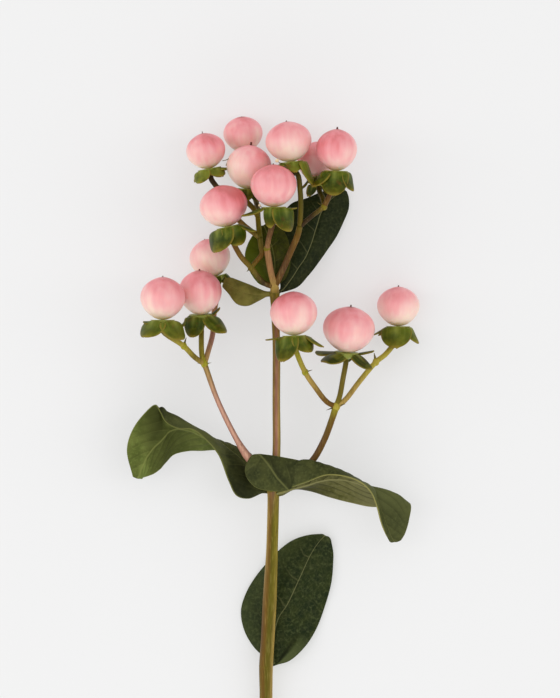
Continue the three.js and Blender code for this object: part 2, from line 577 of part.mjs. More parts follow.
const stalkRoughness = 0.6;
const leafRoughness = 0.6;
const flatGrid = { along: 14, across: 6, thickness: leafThickness };
const foldedGrid = { along: 18, across: 8, thickness: leafThickness };
const smallGrid = { along: 12, across: 6, thickness: leafThickness };
const lobeGrid = { along: 7, across: 4, thickness: leafThickness };

const stem = new THREE.Group();
stem.name = 'hypericum_berry_stem';

const addStalk = (name, solid, colour) => stem.add(piece(name, solid, colour, stalkRoughness));
addStalk('stem', mainStem(), colours.stem);
addStalk('stalks_left', leftSpray(), colours.stalk);
addStalk('stalks_right', rightSpray(), colours.stalk);
addStalk('stalks_top', topSpray(), colours.stalk);

const addLeaf = (name, colour, ...blades) => stem.add(piece(name, fused(blades), colour, leafRoughness));
addLeaf('leaf_lower', colours.darkLeaf, blade(lowerLeaf, { ...flatGrid, wave: 0.5, ripples: 3 }));
addLeaf('leaf_middle_left', colours.darkLeaf, blade(leftLeaf, foldedGrid));
addLeaf('leaf_middle_right', colours.darkLeaf, blade(rightLeaf, foldedGrid), blade(rightLeafLobe, lobeGrid));
addLeaf('leaf_top_right', colours.darkLeaf, blade(topRightLeaf, { ...flatGrid, wave: 0.4, ripples: 2 }));
addLeaf('leaf_top_back', colours.darkLeaf, blade(topBackLeaf, smallGrid));
addLeaf('leaf_top_left', colours.youngLeaf, blade(topLeftLeaf, smallGrid));

for (const number of Object.keys(berries)) stem.add(fruit(number));

export default stem;
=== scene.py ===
import math

import bmesh
import bpy
from mathutils import Matrix, Vector, noise


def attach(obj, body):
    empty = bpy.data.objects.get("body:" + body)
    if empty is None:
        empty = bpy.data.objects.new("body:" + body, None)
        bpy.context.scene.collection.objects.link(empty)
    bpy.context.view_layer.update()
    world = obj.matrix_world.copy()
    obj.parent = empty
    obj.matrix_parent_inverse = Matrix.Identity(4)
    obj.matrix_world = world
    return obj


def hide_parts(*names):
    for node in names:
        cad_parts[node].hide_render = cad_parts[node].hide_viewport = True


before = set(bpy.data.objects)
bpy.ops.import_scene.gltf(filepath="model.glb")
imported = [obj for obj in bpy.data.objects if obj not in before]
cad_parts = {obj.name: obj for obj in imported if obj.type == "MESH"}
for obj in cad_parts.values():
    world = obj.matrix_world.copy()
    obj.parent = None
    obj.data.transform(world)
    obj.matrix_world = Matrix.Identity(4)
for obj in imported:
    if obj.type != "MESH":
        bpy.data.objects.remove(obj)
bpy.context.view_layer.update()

# %% [markdown]
# ## Smooth curves
# Stalks and leaves are drawn with a few measured points each. A Catmull-Rom curve passes through
# every one of them. Its knots are spaced by the square root of the distance, so it doesn't loop
# where two points lie close together. Points are in millimetres and become metres at the very end.
# %% A point on a smooth curve
MM = 0.001


def curve_point(points, t):
    """The point at t on the curve through points: t is 0 at the first point and 1 at the last."""
    place = t * (len(points) - 1)
    k = min(int(place), len(points) - 2)
    start, end = points[k], points[k + 1]
    before = points[k - 1] if k > 0 else 2 * start - end
    after = points[k + 2] if k + 2 < len(points) else 2 * end - start
    gap = [max((b - a).length, 1e-6) ** 0.5 for a, b in ((before, start), (start, end), (end, after))]
    leave = (start - before) / gap[0] - (end - before) / (gap[0] + gap[1]) + (end - start) / gap[1]
    arrive = (end - start) / gap[1] - (after - start) / (gap[1] + gap[2]) + (after - end) / gap[2]
    leave, arrive = leave * gap[1], arrive * gap[1]
    w = place - k
    square = 3 * (end - start) - 2 * leave - arrive
    cube = 2 * (start - end) + leave + arrive
    return start + leave * w + square * w**2 + cube * w**3


# %% [markdown]
# ## From mesh to piece
# Every piece is drawn in millimetres in the same place as its solid. A finished piece is scaled to
# metres, shaded smooth, given its finishes and attached to the body it moves with, and the solid it
# stands for is hidden.
# %% Finishing a piece
def finished_piece(name, bm, solid, finishes):
    """Turns a bmesh in millimetres into an object that stands for one of the solids."""
    bmesh.ops.transform(bm, matrix=Matrix.Scale(MM, 4), verts=bm.verts)
    mesh = bpy.data.meshes.new(name)
    bm.to_mesh(mesh)
    bm.free()
    mesh.shade_smooth()
    for finish in finishes:
        mesh.materials.append(finish)
    piece = bpy.data.objects.new(name, mesh)
    bpy.context.scene.collection.objects.link(piece)
    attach(piece, "root")
    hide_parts(solid)
    print(f"{name}: {len(mesh.polygons)} faces stand for {solid}")
    return piece


# %% [markdown]
# ## Mixing finishes
# Each finish is a small tree of shader nodes. These helpers keep the recipes short: one adds a
# node and fills its inputs, one mixes two colours, and one bends a number from one range to
# another. Colours are written as 0 to 255, as on a colour chart, and made linear here.
# %% Small tools for finishes
# A Mix node has sockets for every kind of data: these are the ones it uses for colours
MIX_SHARE, MIX_FIRST, MIX_SECOND, MIX_RESULT = 0, 6, 7, 2


def chart(red, green, blue):
    """A linear colour from a colour chart's values."""
    parts = [value / 255 for value in (red, green, blue)]
    linear = [part / 12.92 if part <= 0.04045 else ((part + 0.055) / 1.055) ** 2.4 for part in parts]
    return (*linear, 1.0)


def add_node(tree, kind, inputs=None, **settings):
    """Adds a node. Inputs are links where they are sockets, and plain values otherwise."""
    node = tree.nodes.new(kind)
    for key, value in settings.items():
        setattr(node, key, value)
    for key, value in (inputs or {}).items():
        if isinstance(value, bpy.types.NodeSocket):
            tree.links.new(value, node.inputs[key])
        else:
            node.inputs[key].default_value = value
    return node


def mix_colours(tree, share, first, second):
    """The first colour at a share of 0 and the second at 1."""
    inputs = {MIX_SHARE: share, MIX_FIRST: first, MIX_SECOND: second}
    return add_node(tree, "ShaderNodeMix", inputs, data_type="RGBA").outputs[MIX_RESULT]


def remap(tree, value, low, high, to_low=0.0, to_high=1.0):
    """Carries a value from the range low to high into the range to_low to to_high, and clamps it."""
    inputs = {"Value": value, "From Min": low, "From Max": high, "To Min": to_low, "To Max": to_high}
    return add_node(tree, "ShaderNodeMapRange", inputs).outputs["Result"]


def calculate(tree, operation, first, second=0.0):
    return add_node(tree, "ShaderNodeMath", {0: first, 1: second}, operation=operation).outputs[0]


def attribute(tree, name):
    return add_node(tree, "ShaderNodeAttribute", attribute_name=name)


def stretched_noise(tree, vector, stretch, detail=3.0):
    """A soft random pattern on vector, drawn out by different amounts along its three axes."""
    placed = add_node(tree, "ShaderNodeMapping", {"Vector": vector, "Scale": stretch})
    inputs = {"Vector": placed.outputs[0], "Scale": 1.0, "Detail": detail}
    return add_node(tree, "ShaderNodeTexNoise", inputs).outputs["Fac"]


def ramp(tree, share, stops):
    """Colours along a scale: stops is a list of (place, colour)."""
    node = add_node(tree, "ShaderNodeValToRGB", {"Fac": share})
    while len(node.color_ramp.elements) < len(stops):
        node.color_ramp.elements.new(0.5)
    for element, (place, colour) in zip(node.color_ramp.elements, stops):
        element.position = place
        element.color = colour
    return node.outputs["Color"]


def new_finish(name):
    finish = bpy.data.materials.new(name)
    finish.use_nodes = True
    tree = finish.node_tree
    print("finish:", name)
    return finish, tree, tree.nodes["Principled BSDF"]


# %% [markdown]
# ## Rods for stem and stalks
# A stalk is a round rod that bends, thickens at its nodes and changes colour as it ripens. A
# circle is extruded ring by ring: each new ring is carried from the last one's place to its own by
# one matrix. Each step leaves a wall inside the rod, which is deleted, so that the rod stays one
# closed skin. A curve with a round bevel could bend and thicken too, but here every ring also gets
# its own tones. The ring's first axis always lies level, so a rod has a left and a right side. Its
# bark is given as bands from left to right, and each band is a list of tones from base to tip.
# %% Growing a rod
LOOK_AHEAD = 0.01
BRACT_FLATNESS, BRACT_POINT = 0.55, 0.06


def ring_places(route, count):
    """Matrices that carry a circle of radius 1 to each ring of a route of (x, y, z, radius)."""
    points = [Vector(stop[:3]) for stop in route]
    places = []
    for k in range(count + 1):
        t = k / count
        further, nearer = min(t + LOOK_AHEAD, 1), max(t - LOOK_AHEAD, 0)
        ahead = curve_point(points, further) - curve_point(points, nearer)
        ahead.normalize()
        right = ahead.cross(Vector((0, 0, 1))).normalized()
        top = right.cross(ahead)
        between = t * (len(route) - 1)
        i = min(int(between), len(route) - 2)
        radius = route[i][3] + (route[i + 1][3] - route[i][3]) * (between - i)
        place = Matrix((right * radius, top * radius, ahead)).transposed().to_4x4()
        place.translation = curve_point(points, t)
        places.append(place)
    return places


def extrude_rings(bm, places, sides):
    """Extrudes a circle through the places as one closed skin and returns each ring's points."""
    ring = bmesh.ops.create_circle(bm, cap_ends=True, segments=sides, radius=1, matrix=places[0])["verts"]
    cap = ring[0].link_faces[0]
    rings = [ring]
    for before, place in zip(places, places[1:]):
        grown = bmesh.ops.extrude_face_region(bm, geom=[cap])["geom"]
        if len(rings) > 1:
            bmesh.ops.delete(bm, geom=[cap], context="FACES_ONLY")
        cap = next(item for item in grown if isinstance(item, bmesh.types.BMFace))
        ring = [item for item in grown if isinstance(item, bmesh.types.BMVert)]
        bmesh.ops.transform(bm, matrix=place @ before.inverted(), verts=ring)
        rings.append(ring)
    return rings


def along_list(values, t):
    """The value at t, 0 to 1, along a list of vectors spread evenly."""
    place = t * (len(values) - 1)
    i = min(int(place), max(len(values) - 2, 0))
    return values[i].lerp(values[min(i + 1, len(values) - 1)], place - i)


def grow_rod(bm, route, *bands, sides=16, rings=24):
    """Adds a rod to bm. Each band is a list of tones from base to tip, the first one at the left."""
    bark = bm.verts.layers.float_color["bark"]
    places = ring_places(route, rings)
    for k, ring in enumerate(extrude_rings(bm, places, sides)):
        tones = [along_list([Vector(chart(*tone)) for tone in band], k / rings) for band in bands]
        inverse = places[k].inverted()
        for vert in ring:
            lean = 0.5 + 0.5 * max(-1, min(1, (inverse @ vert.co).x))
            vert[bark] = along_list(tones, lean)


def swell(bm, place, radius, tone, stretch=1.15):
    """Adds the rounded swelling of a node, stretched a little up the stem."""
    bark = bm.verts.layers.float_color["bark"]
    size = Matrix.Translation(place[:3]) @ Matrix.Diagonal((1, stretch, 1, 1))
    ball = bmesh.ops.create_uvsphere(bm, u_segments=20, v_segments=12, radius=radius, matrix=size)
    for vert in ball["verts"]:
        vert[bark] = chart(*tone)


def add_bract(bm, place, towards, length, radius, tone):
    """Adds a small pointed scale, flattened, that leaves a stalk in the given direction."""
    bark = bm.verts.layers.float_color["bark"]
    turn = Vector((0, 0, 1)).rotation_difference(Vector(towards)).to_matrix().to_4x4()
    flatten = Matrix.Diagonal((1, BRACT_FLATNESS, 1, 1))
    lift = Matrix.Translation((0, 0, length / 2 - radius / 2))
    scale = bmesh.ops.create_cone(
        bm, cap_ends=True, segments=10, radius1=radius, radius2=BRACT_POINT, depth=length,
        matrix=Matrix.Translation(place[:3]) @ turn @ lift @ flatten,
    )
    for vert in scale["verts"]:
        vert[bark] = chart(*tone)


def new_stalks():
    bm = bmesh.new()
    bm.verts.layers.float_color.new("bark")
    return bm


# %% [markdown]
# ## Bark
# The bark of a young hypericum shoot is smooth, with fine lines along it and a few dark flecks.
# Its tones come from the rods themselves. Noise drawn out along the stem adds the lines, and the
# same noise gives a shallow bump. A painted picture could give them too, but it would need a seam
# on every stalk, and noise needs none.
# %% The bark's finish
def bark_finish():
    finish, tree, skin = new_finish("bark")
    tone = attribute(tree, "bark").outputs["Color"]
    where = add_node(tree, "ShaderNodeTexCoord").outputs["Object"]
    lines = stretched_noise(tree, where, (2600, 90, 2600), detail=3)
    flecks = stretched_noise(tree, where, (900, 500, 900), detail=2)
    lined = mix_colours(tree, remap(tree, lines, 0.4, 0.75, 0.0, 0.4), tone, chart(66, 50, 18))
    lighter = mix_colours(tree, remap(tree, lines, 0.45, 0.25, 0.0, 0.3), lined, chart(176, 156, 92))
    flecked = mix_colours(tree, remap(tree, flecks, 0.66, 0.76, 0.0, 0.3), lighter, chart(80, 58, 30))
    bump = add_node(tree, "ShaderNodeBump", {"Height": lines, "Strength": 0.3, "Distance": 0.0002})
    tree.links.new(flecked, skin.inputs["Base Color"])
    tree.links.new(bump.outputs[0], skin.inputs["Normal"])
    skin.inputs["Roughness"].default_value = 0.45
    skin.inputs["Specular IOR Level"].default_value = 0.16
    return finish


bark = bark_finish()

# %% [markdown]
# ## The main stem
# The stem is one rod from its slanting cut to the top node, a little thicker at each node. Below
# the middle node it is mostly brown on the left and olive on the right, with a sandy tone along
# its outer edges. Above that node both edges are olive and the middle is a pinkish tan. A plane
# makes the slanting cut, and the cut's edges are then filled with one face.
# %% The main stem
SAND, TAN, ROSE, PINK = (176, 146, 74), (160, 116, 74), (172, 120, 104), (214, 164, 140)
MAUVE, BROWN, DARK, UMBER = (136, 90, 76), (92, 62, 34), (56, 40, 14), (112, 78, 18)
OLIVE, MOSS, LEAFY = (112, 96, 24), (94, 86, 8), (128, 116, 22)
LIME, YELLOW, SCALE = (158, 150, 34), (178, 162, 58), (92, 84, 36)
STEM_RINGS = 110
CUT_SLANT = math.radians(28)
CUT_STEP = 1.6

STEM_ROUTE = [
    # x, y, z, radius
    (-2.8, -109.5, 2.1, 2.05),
    (-2.3, -83.4, 3.6, 1.95),
    (-2.2, -63, 5, 1.95),
    (-2.2, -55.8, 5.6, 2.1),
    (-1.7, -47.4, 6.5, 2.05),
    (-1.1, -35.4, 8, 2.1),
    (-0.4, -20.4, 9.8, 1.75),
    (0, -5.4, 11.7, 1.75),
    (0, -1.2, 12.3, 1.9),
    (0.9, 8.1, 13.2, 1.2),
    (0.9, 24.6, 14.6, 1.15),
    (0.9, 42.6, 15.8, 1.15),
    (0.4, 53.4, 16.4, 1.2),
    (0.4, 56.6, 16.6, 1.6),
]
# The swellings of the lower and the middle node: place, radius
STEM_NODES = [((-2.2, -55.5, 5.6), 2.12), ((-0.1, -1.8, 12.2), 1.9)]

stem = new_stalks()
grow_rod(
    stem, STEM_ROUTE,
    [SAND, OLIVE, BROWN, SAND, OLIVE, OLIVE, OLIVE], [UMBER, UMBER, UMBER, UMBER, TAN, UMBER, OLIVE],
    [MOSS, MOSS, MOSS, MOSS, ROSE, MAUVE, MOSS], [OLIVE, OLIVE, MOSS, LEAFY, SAND, TAN, LEAFY],
    [SAND, SAND, SAND, LEAFY, LEAFY, LEAFY, OLIVE],
    sides=40, rings=STEM_RINGS,
)
for place, radius in STEM_NODES:
    swell(stem, place, radius, OLIVE, stretch=1.5)
cut_point = Vector(STEM_ROUTE[0][:3]) + Vector((0, CUT_STEP, 0))
cut_normal = Vector((0, -math.cos(CUT_SLANT), math.sin(CUT_SLANT)))
cut = bmesh.ops.bisect_plane(
    stem, geom=stem.verts[:] + stem.edges[:] + stem.faces[:],
    plane_co=cut_point, plane_no=cut_normal, clear_outer=True,
)
cut_edges = [item for item in cut["geom_cut"] if isinstance(item, bmesh.types.BMEdge)]
bmesh.ops.contextual_create(stem, geom=cut_edges)
finished_piece("stem_bark", stem, "stem", [bark])

# %% [markdown]
# ## Berries and where they sit
# Each berry has a centre, a width and a height, and its tip leans sideways and lifts by some
# degrees. One frame made from these places its skin, its dried styles and the five sepals under
# it, and says where its pedicel ends, so they all move together when a berry is moved. Ripeness
# says how far the blush reaches down from the tip, and side_blush_and_shade how much deeper the
# right side's tone is than the left's: partly a rosier side, and partly painted shade, as on the
# right of berry 6, which lies in the shade of berry 5. Green says how deep or how yellow the
# sepals' green is. Styles are a length and a radius, and a sepal is its turn about the berry, its
# length, its width and its droop.
# %% The berries' measurements
BERRIES = {
    1: dict(
        centre=(-20.2, 99.2, 13), width=11.8, height=10.6, lean=-11, lift=0,
        ripeness=0.2, side_blush_and_shade=0.2, green=-0.7, styles=(1.4, 0.1),
        sepals=[
            (-45, 4.6, 7, 66), (40, 3.6, 6, 60), (84, 3, 4.4, 15), (155, 4.6, 4, 40), (228, 4.6, 4, 40),
        ],
    ),
    2: dict(
        centre=(-9.1, 104.4, 5.4), width=11.8, height=10.6, lean=-5, lift=12, on_table=True,
        ripeness=-0.15, side_blush_and_shade=0, green=0.3, styles=(0.8, 0.22),
        sepals=[
            (-72, 4.2, 3.6, 50), (0, 4.2, 3.6, 62), (72, 4.2, 3.6, 50),
            (144, 2.6, 3.2, 80), (-144, 2.6, 3.2, 80),
        ],
    ),
    3: dict(
        centre=(-7.3, 94.3, 15), width=13.5, height=13, lean=5, lift=0,
        ripeness=-0.4, side_blush_and_shade=0.4, green=0.2, styles=(1.7, 0.5),
        sepals=[
            (-84, 3.4, 3.2, 60), (5, 3.8, 3.6, 76), (66, 4.6, 4, 52),
            (144, 4.6, 4, 50), (216, 4.6, 4, 50),
        ],
    ),
    4: dict(
        centre=(4.6, 101.8, 19), width=13.8, height=11.9, lean=-6.5, lift=0,
        ripeness=-0.15, side_blush_and_shade=0.05, green=-0.45, styles=(1.1, 0.28),
        sepals=[
            (-65, 2.6, 5, 20), (10, 4, 4.5, 60), (30, 3.1, 3.6, 66), (72, 9.5, 7, 73), (180, 5, 4.4, 45),
        ],
    ),
    5: dict(
        centre=(0.1, 88.5, 25.2), width=13.8, height=12.5, lean=-1, lift=0,
        ripeness=0.5, side_blush_and_shade=-0.1, green=-0.05, styles=(1.1, 0.24),
        sepals=[
            (-15, 7, 4.5, 78), (50, 8.5, 10, 78), (-80, 7.2, 5, 20), (104, 3.8, 3, 2), (180, 5, 4.4, 55),
        ],
    ),
    6: dict(
        centre=(-14.8, 82.5, 22), width=14.4, height=12.3, lean=-13, lift=0,
        ripeness=0.5, side_blush_and_shade=0.95, green=0.05, styles=(1.0, 0.2),
        sepals=[
            (-50, 8.2, 12, 68), (18, 7.5, 7.5, 70), (75, 6, 4.5, 35),
            (160, 5, 4.4, 50), (228, 5, 4.4, 50),
        ],
    ),
    7: dict(
        centre=(18.9, 99.3, 20.2), width=12.3, height=12.3, lean=2, lift=0,
        ripeness=0.4, side_blush_and_shade=-0.55, green=0.3, styles=(1.4, 0.42),
        sepals=[
            (-5, 8.5, 8.5, 80), (62, 7, 6.5, 70), (-72, 6.5, 9, 55),
            (150, 5, 4.4, 50), (216, 4.6, 4.2, 56),
        ],
    ),
    8: dict(
        centre=(13.4, 96.1, 9), width=12.3, height=12, lean=-3, lift=-20,
        ripeness=0.25, side_blush_and_shade=0, green=0.5, styles=(1.0, 0.2),
        sepals=[
            (-72, 4, 3.6, 50), (0, 4, 3.6, 62), (72, 4, 3.6, 50), (144, 4, 3.6, 50), (216, 4, 3.6, 50),
        ],
    ),
    9: dict(
        centre=(-19, 67.2, 5.7), width=12.4, height=11.4, lean=-16, lift=0, on_table=True,
        ripeness=-0.4, side_blush_and_shade=0.1, green=0.2, styles=(0.9, 0.2),
        sepals=[
            (-72, 4, 3.6, 52), (0, 3.4, 3.2, 70), (72, 3.4, 3.2, 60),
            (144, 2.8, 3.2, 80), (-144, 2.8, 3.2, 80),
        ],
    ),
    10: dict(
        centre=(-21.9, 56.7, 15), width=12.9, height=13.2, lean=-2, lift=8,
        ripeness=0.12, side_blush_and_shade=0.3, green=0.35, styles=(1.2, 0.36),
        sepals=[
            (50, 8, 8, 42), (-32, 7, 7.5, 74), (105, 3.6, 2.5, -35), (-88, 5, 4, 50), (196, 5, 4.4, 50),
        ],
    ),
    11: dict(
        centre=(-33, 54.9, 22.8), width=13.4, height=12.6, lean=0, lift=0,
        ripeness=0.1, side_blush_and_shade=0.25, green=-0.2, styles=(1.1, 0.28),
        sepals=[
            (-45, 7, 10, 55), (52, 7.5, 11, 62), (118, 5.4, 4.4, 50),
            (180, 5.4, 4.4, 50), (-100, 3, 6, 5),
        ],
    ),
    12: dict(
        centre=(6.1, 50.4, 23.4), width=14.1, height=12.9, lean=-2, lift=0,
        ripeness=0.05, side_blush_and_shade=-0.15, green=-0.15, styles=(0.8, 0.18),
        sepals=[
            (-42, 8.8, 9.5, 77), (45, 6.2, 9, 68), (75, 7, 4, 35),
            (-96, 5.8, 2.5, 8), (180, 5.4, 4.4, 50),
        ],
    ),
    13: dict(
        centre=(22.6, 45.6, 16), width=15.6, height=13.6, lean=5, lift=8,
        ripeness=0.05, side_blush_and_shade=-0.3, green=0.8, styles=(1.4, 0.3),
        sepals=[
            (-125, 8.2, 7, 8), (-45, 7, 8, 22), (55, 7.4, 6.5, 32),
            (105, 5.6, 2.5, -12), (180, 5.4, 4.4, 50),
        ],
    ),
    14: dict(
        centre=(37.6, 52.6, 5.9), width=12.8, height=11.7, lean=0.5, lift=0, on_table=True,
        ripeness=-0.15, side_blush_and_shade=-0.3, green=-0.2, styles=(1.2, 0.24),
        sepals=[
            (-75, 4.2, 5, 45), (-10, 7.5, 9.5, 74), (65, 6.2, 6, 60), (-86, 5, 3, 32), (176, 3.2, 4, 80),
        ],
    ),
}
CLEARANCE = 0.3
RECEPTACLE_HEIGHT = 1.7
PEDICEL_WOOD = 0.8


def berry_frame(berry):
    """Carries a berry's own axes into place: Y along it to its tip, Z on the side that faces up."""
    lean, lift = math.radians(berry["lean"]), math.radians(berry["lift"])
    axis = Vector((math.sin(lean) * math.cos(lift), math.cos(lean) * math.cos(lift), math.sin(lift)))
    front = (Vector((0, 0, 1)) - axis * axis.z).normalized()
    place = Matrix((axis.cross(front), axis, front)).transposed().to_4x4()
    place.translation = Vector(berry["centre"])
    return place


def pedicel_end(number, distance=0.0):
    """Where a pedicel meets a berry's calyx, or a little further down, with its radius."""
    berry = BERRIES[number]
    drop = berry["height"] / 2 + RECEPTACLE_HEIGHT + distance
    end = berry_frame(berry) @ Vector((0, -drop, 0))
    return (*end, PEDICEL_WOOD)


# %% [markdown]
# ## Three sprays of stalks
# Two stalks leave the middle node and a third spray the top one, and they fork into pedicels, one
# to a berry. Young wood is olive or yellow-green, older wood is pinkish tan or brown. Most forks
# are small yellow-green or olive swellings, some with a tiny bract or two. Each stalk is a rod of
# its own that starts inside a fork, because the swelling then hides where the rods meet.
# %% The stalks on the left
LAST_STRETCH = 1.6


def thin(place, radius=PEDICEL_WOOD):
    """A place on a stalk's route, with its radius."""
    return (*place[:3], radius)


def grow_pedicel(bm, start, number, bends, tones):
    """Grows the stalk of one berry from a fork, round some bends and straight into its calyx."""
    ends = [pedicel_end(number, LAST_STRETCH), pedicel_end(number)]
    grow_rod(bm, [thin(start), *(thin(bend) for bend in bends), *ends], tones, rings=20)


left = new_stalks()
fork, knee = (-20.6, 35.4, 15.2), (-26.8, 40.8, 18.6)
# The mauve right band is painted shade along the stalk's right edge
grow_rod(left, [
    (-2.1, 0.6, 14.2, 0.8), (-5.2, 4.5, 14.6, 1.1), (-8, 8.1, 15.2, 1.25), (-11, 12.9, 15.4, 0.85),
    (-16.6, 24.3, 15.4, 0.75), thin(fork, 0.85),
], [BROWN, ROSE, ROSE, ROSE, ROSE, OLIVE], [SAND, PINK, PINK, PINK, PINK, SAND],
    [BROWN, MAUVE, MAUVE, MAUVE, MAUVE, OLIVE], rings=36)
swell(left, fork, 1.1, LIME)
swell(left, knee, 1.0, LIME)
grow_pedicel(left, fork, 11, [(-23.5, 37.4, 16.4), knee], [SAND, OLIVE, YELLOW, OLIVE, BROWN])
grow_pedicel(left, fork, 10, [(-21.4, 38.1, 15)], [LIME, LEAFY, OLIVE, MOSS])
grow_pedicel(
    left, fork, 9, [(-19.6, 39, 13.2), (-18.2, 44.4, 9.6), (-17.8, 51, 6.2)], [SAND, ROSE, TAN, BROWN],
)
for place, towards, length, radius in [
    (knee, (-0.9, 0.75, 0.1), 4.2, 0.7), (knee, (0.3, 1, 0), 3, 0.6),
    (fork, (-1, 0.1, 0.4), 2.6, 0.6), (fork, (1, 0.2, 0.2), 2.4, 0.6),
]:
    add_bract(left, place, towards, length, radius, SCALE)
finished_piece("stalks_left_bark", left, "stalks_left", [bark])

# %% The stalks on the right
right = new_stalks()
fork, knee, elbow = (18.8, 22.6, 14), (9.5, 33, 18.5), (30.8, 36, 9.6)
grow_rod(right, [
    (2.9, 0.4, 12.6, 0.8), (7.1, 2.7, 12.6, 0.95), (11.6, 6.3, 12.8, 1), (15.1, 12.3, 13.4, 0.95),
    (17.6, 18.9, 13.8, 0.95), thin(fork, 1.05),
], [DARK, BROWN, BROWN, BROWN, OLIVE, LIME], [BROWN, BROWN, UMBER, UMBER, UMBER, LIME], rings=36)
swell(right, fork, 1.25, YELLOW)
swell(right, knee, 1.0, LIME)
swell(right, elbow, 1.05, YELLOW)
grow_pedicel(
    right, fork, 12, [(16.1, 24, 14.8), (12.5, 28.5, 16.8), knee], [UMBER, UMBER, SAND, LIME, LIME],
)
grow_pedicel(right, fork, 13, [(19.9, 25.8, 14.2), (20.9, 31.2, 14.6)], [LEAFY, OLIVE, OLIVE, MOSS])
grow_pedicel(
    right, fork, 14, [(21.5, 24.6, 13.6), (25.7, 30, 11.6), elbow, (33.8, 38.4, 8)],
    [SAND, SAND, SAND, YELLOW, YELLOW, YELLOW, DARK, TAN],
)
for place, towards, length, radius in [
    (fork, (-1, -0.35, 0.3), 3.6, 0.7), (fork, (1, 0.3, 0.2), 3.4, 0.7),
    (elbow, (-0.2, 1, 0.1), 3.2, 0.7), (knee, (1, 0.3, 0.1), 2.6, 0.6),
]:
    add_bract(right, place, towards, length, radius, SCALE)
finished_piece("stalks_right_bark", right, "stalks_right", [bark])

# %% The stalks at the top
top = new_stalks()
foot, base = (0.4, 56.1, 16.5), (0.4, 58.5, 16.8)
left_fork, middle_fork, back_fork = (-6.7, 64.3, 17.6), (-1.9, 69.9, 18.6), (-4, 73.2, 17.2)
low_fork, right_fork, right_knee = (-4.6, 79.5, 15.4), (7.9, 76.5, 17.6), (15.2, 82.5, 17.3)
grow_rod(top, [thin(foot, 1.4), thin(base, 1.3)], [OLIVE, SAND], rings=4)
for place, radius, tone in [
    (base, 1.25, SAND), (left_fork, 1.0, OLIVE), (middle_fork, 1.05, LEAFY), (right_knee, 1.0, LEAFY),
]:
    swell(top, place, radius, tone)
grow_rod(top, [thin(base, 0.9), thin((-2.8, 59.7, 17)), thin(left_fork, 0.85)], [UMBER, DARK, OLIVE])
grow_pedicel(top, left_fork, 6, [(-9.7, 67.6, 19.6)], [OLIVE, UMBER, OLIVE])
grow_rod(top, [thin(base, 1), thin((-0.8, 63.3, 17.8), 0.95), thin(middle_fork, 0.95)], [SAND, TAN, TAN])
grow_pedicel(top, middle_fork, 5, [(-1.3, 73.2, 21)], [TAN, BROWN, BROWN])
grow_rod(top, [
    thin(left_fork, 0.75), (-5, 66.3, 17.2, 0.7), (-3.4, 68.4, 17, 0.75), (-3.7, 70.8, 17, 0.8),
    thin(back_fork, 0.85),
], [OLIVE, UMBER, UMBER, OLIVE, MOSS])
grow_rod(top, [thin(back_fork, 0.85), (-4.4, 76.8, 16.4, 0.8), thin(low_fork)], [MOSS, LEAFY], rings=12)
grow_pedicel(top, low_fork, 3, [(-5.9, 81.9, 15)], [LEAFY, OLIVE, DARK])
grow_pedicel(
    top, low_fork, 2, [(-4.9, 83.1, 9.6), (-6.4, 88.2, 4.6), (-7.7, 93.6, 3.4)], [OLIVE, DARK, BROWN],
)
grow_pedicel(
    top, back_fork, 1, [(-10, 78.1, 15.4), (-14.2, 83.7, 13.6), (-17, 88.5, 13)], [OLIVE, SAND, DARK, DARK],
)
grow_rod(top, [
    thin(base, 1), (2.9, 63.9, 17, 0.95), (5.3, 69.3, 17.3, 0.95), (7.1, 73.5, 17.5, 0.95),
    thin(right_fork, 0.9),
], [UMBER, BROWN, BROWN, UMBER, OLIVE], [UMBER, BROWN, UMBER, UMBER, OLIVE], rings=32)
grow_pedicel(
    top, right_fork, 4, [(8.2, 82.2, 17.8), (8, 87.6, 18.2), (7.1, 92.4, 18.7)],
    [OLIVE, MOSS, MOSS, DARK, DARK],
)
grow_rod(top, [thin(right_fork, 0.7), (11.3, 79.5, 17.4, 0.7), thin(right_knee, 0.75)], [DARK, DARK, OLIVE])
grow_pedicel(top, right_knee, 7, [(16.6, 85.5, 18.4)], [UMBER, BROWN, BROWN])
grow_pedicel(top, right_knee, 8, [(14.8, 84.9, 15)], [MOSS, DARK])
for place, towards, length, radius in [
    (right_knee, (-1, 0.6, 0.1), 2.6, 0.6), (left_fork, (-0.6, -0.6, 0.3), 2.2, 0.6),
    (middle_fork, (1, 0.5, 0.2), 2.4, 0.6),
]:
    add_bract(top, place, towards, length, radius, SCALE)
finished_piece("stalks_top_bark", top, "stalks_top", [bark])

# %% [markdown]
# ## Leaf blades
# A hypericum leaf is an oval blade without a stalk, so its base sits right on the wood. Each blade
# is measured as rows of points from base to tip, and one more row carries its base on towards the
# wood. A flat leaf could be bent by modifiers instead, but rows keep every fold in its own place.
# The lower leaf and the three at the top have three points to a row. The two middle leaves roll
# over, so they have five, and the right one also has a lobe that clasps the stem.
# %% Leaf measurements
LOWER_LEAF = [
    # left margin, midrib, right margin
    ((-0.2, -54, 3.1), (0.4, -54.6, 3.1), (1, -55.2, 3.1)),
    ((-4.6, -51.3, 2.2), (-0.4, -50.4, 3), (4.7, -54.1, 3.4)),
    ((-8.5, -45.6, 1.1), (0.4, -45.3, 3.1), (9.5, -49.8, 2.6)),
    ((-9.7, -39.3, 0.6), (1.7, -40.8, 3.4), (13.1, -44.1, 1.7)),
    ((-8.2, -33.8, 0.6), (4.1, -37.2, 3.8), (15.8, -36.9, 1.3)),
    ((-5.5, -28.9, 0.8), (6.4, -32.4, 4), (17.3, -30.9, 1.2)),
    ((-2.2, -24.8, 1.2), (8.2, -28.5, 4), (17.9, -25.5, 1.3)),
    ((1.7, -20.8, 1.6), (10.1, -24.3, 3.7), (18.1, -21.6, 1.5)),
    ((5.9, -17.7, 1.8), (12.5, -19.9, 3.1), (17.6, -18.9, 1.6)),
    ((10.4, -16.2, 1.8), (14.5, -17.4, 2.5), (17.2, -17.4, 1.6)),
    ((14.3, -15.9, 1.6), (15.7, -16.3, 1.9), (16.7, -16.9, 1.6)),
]
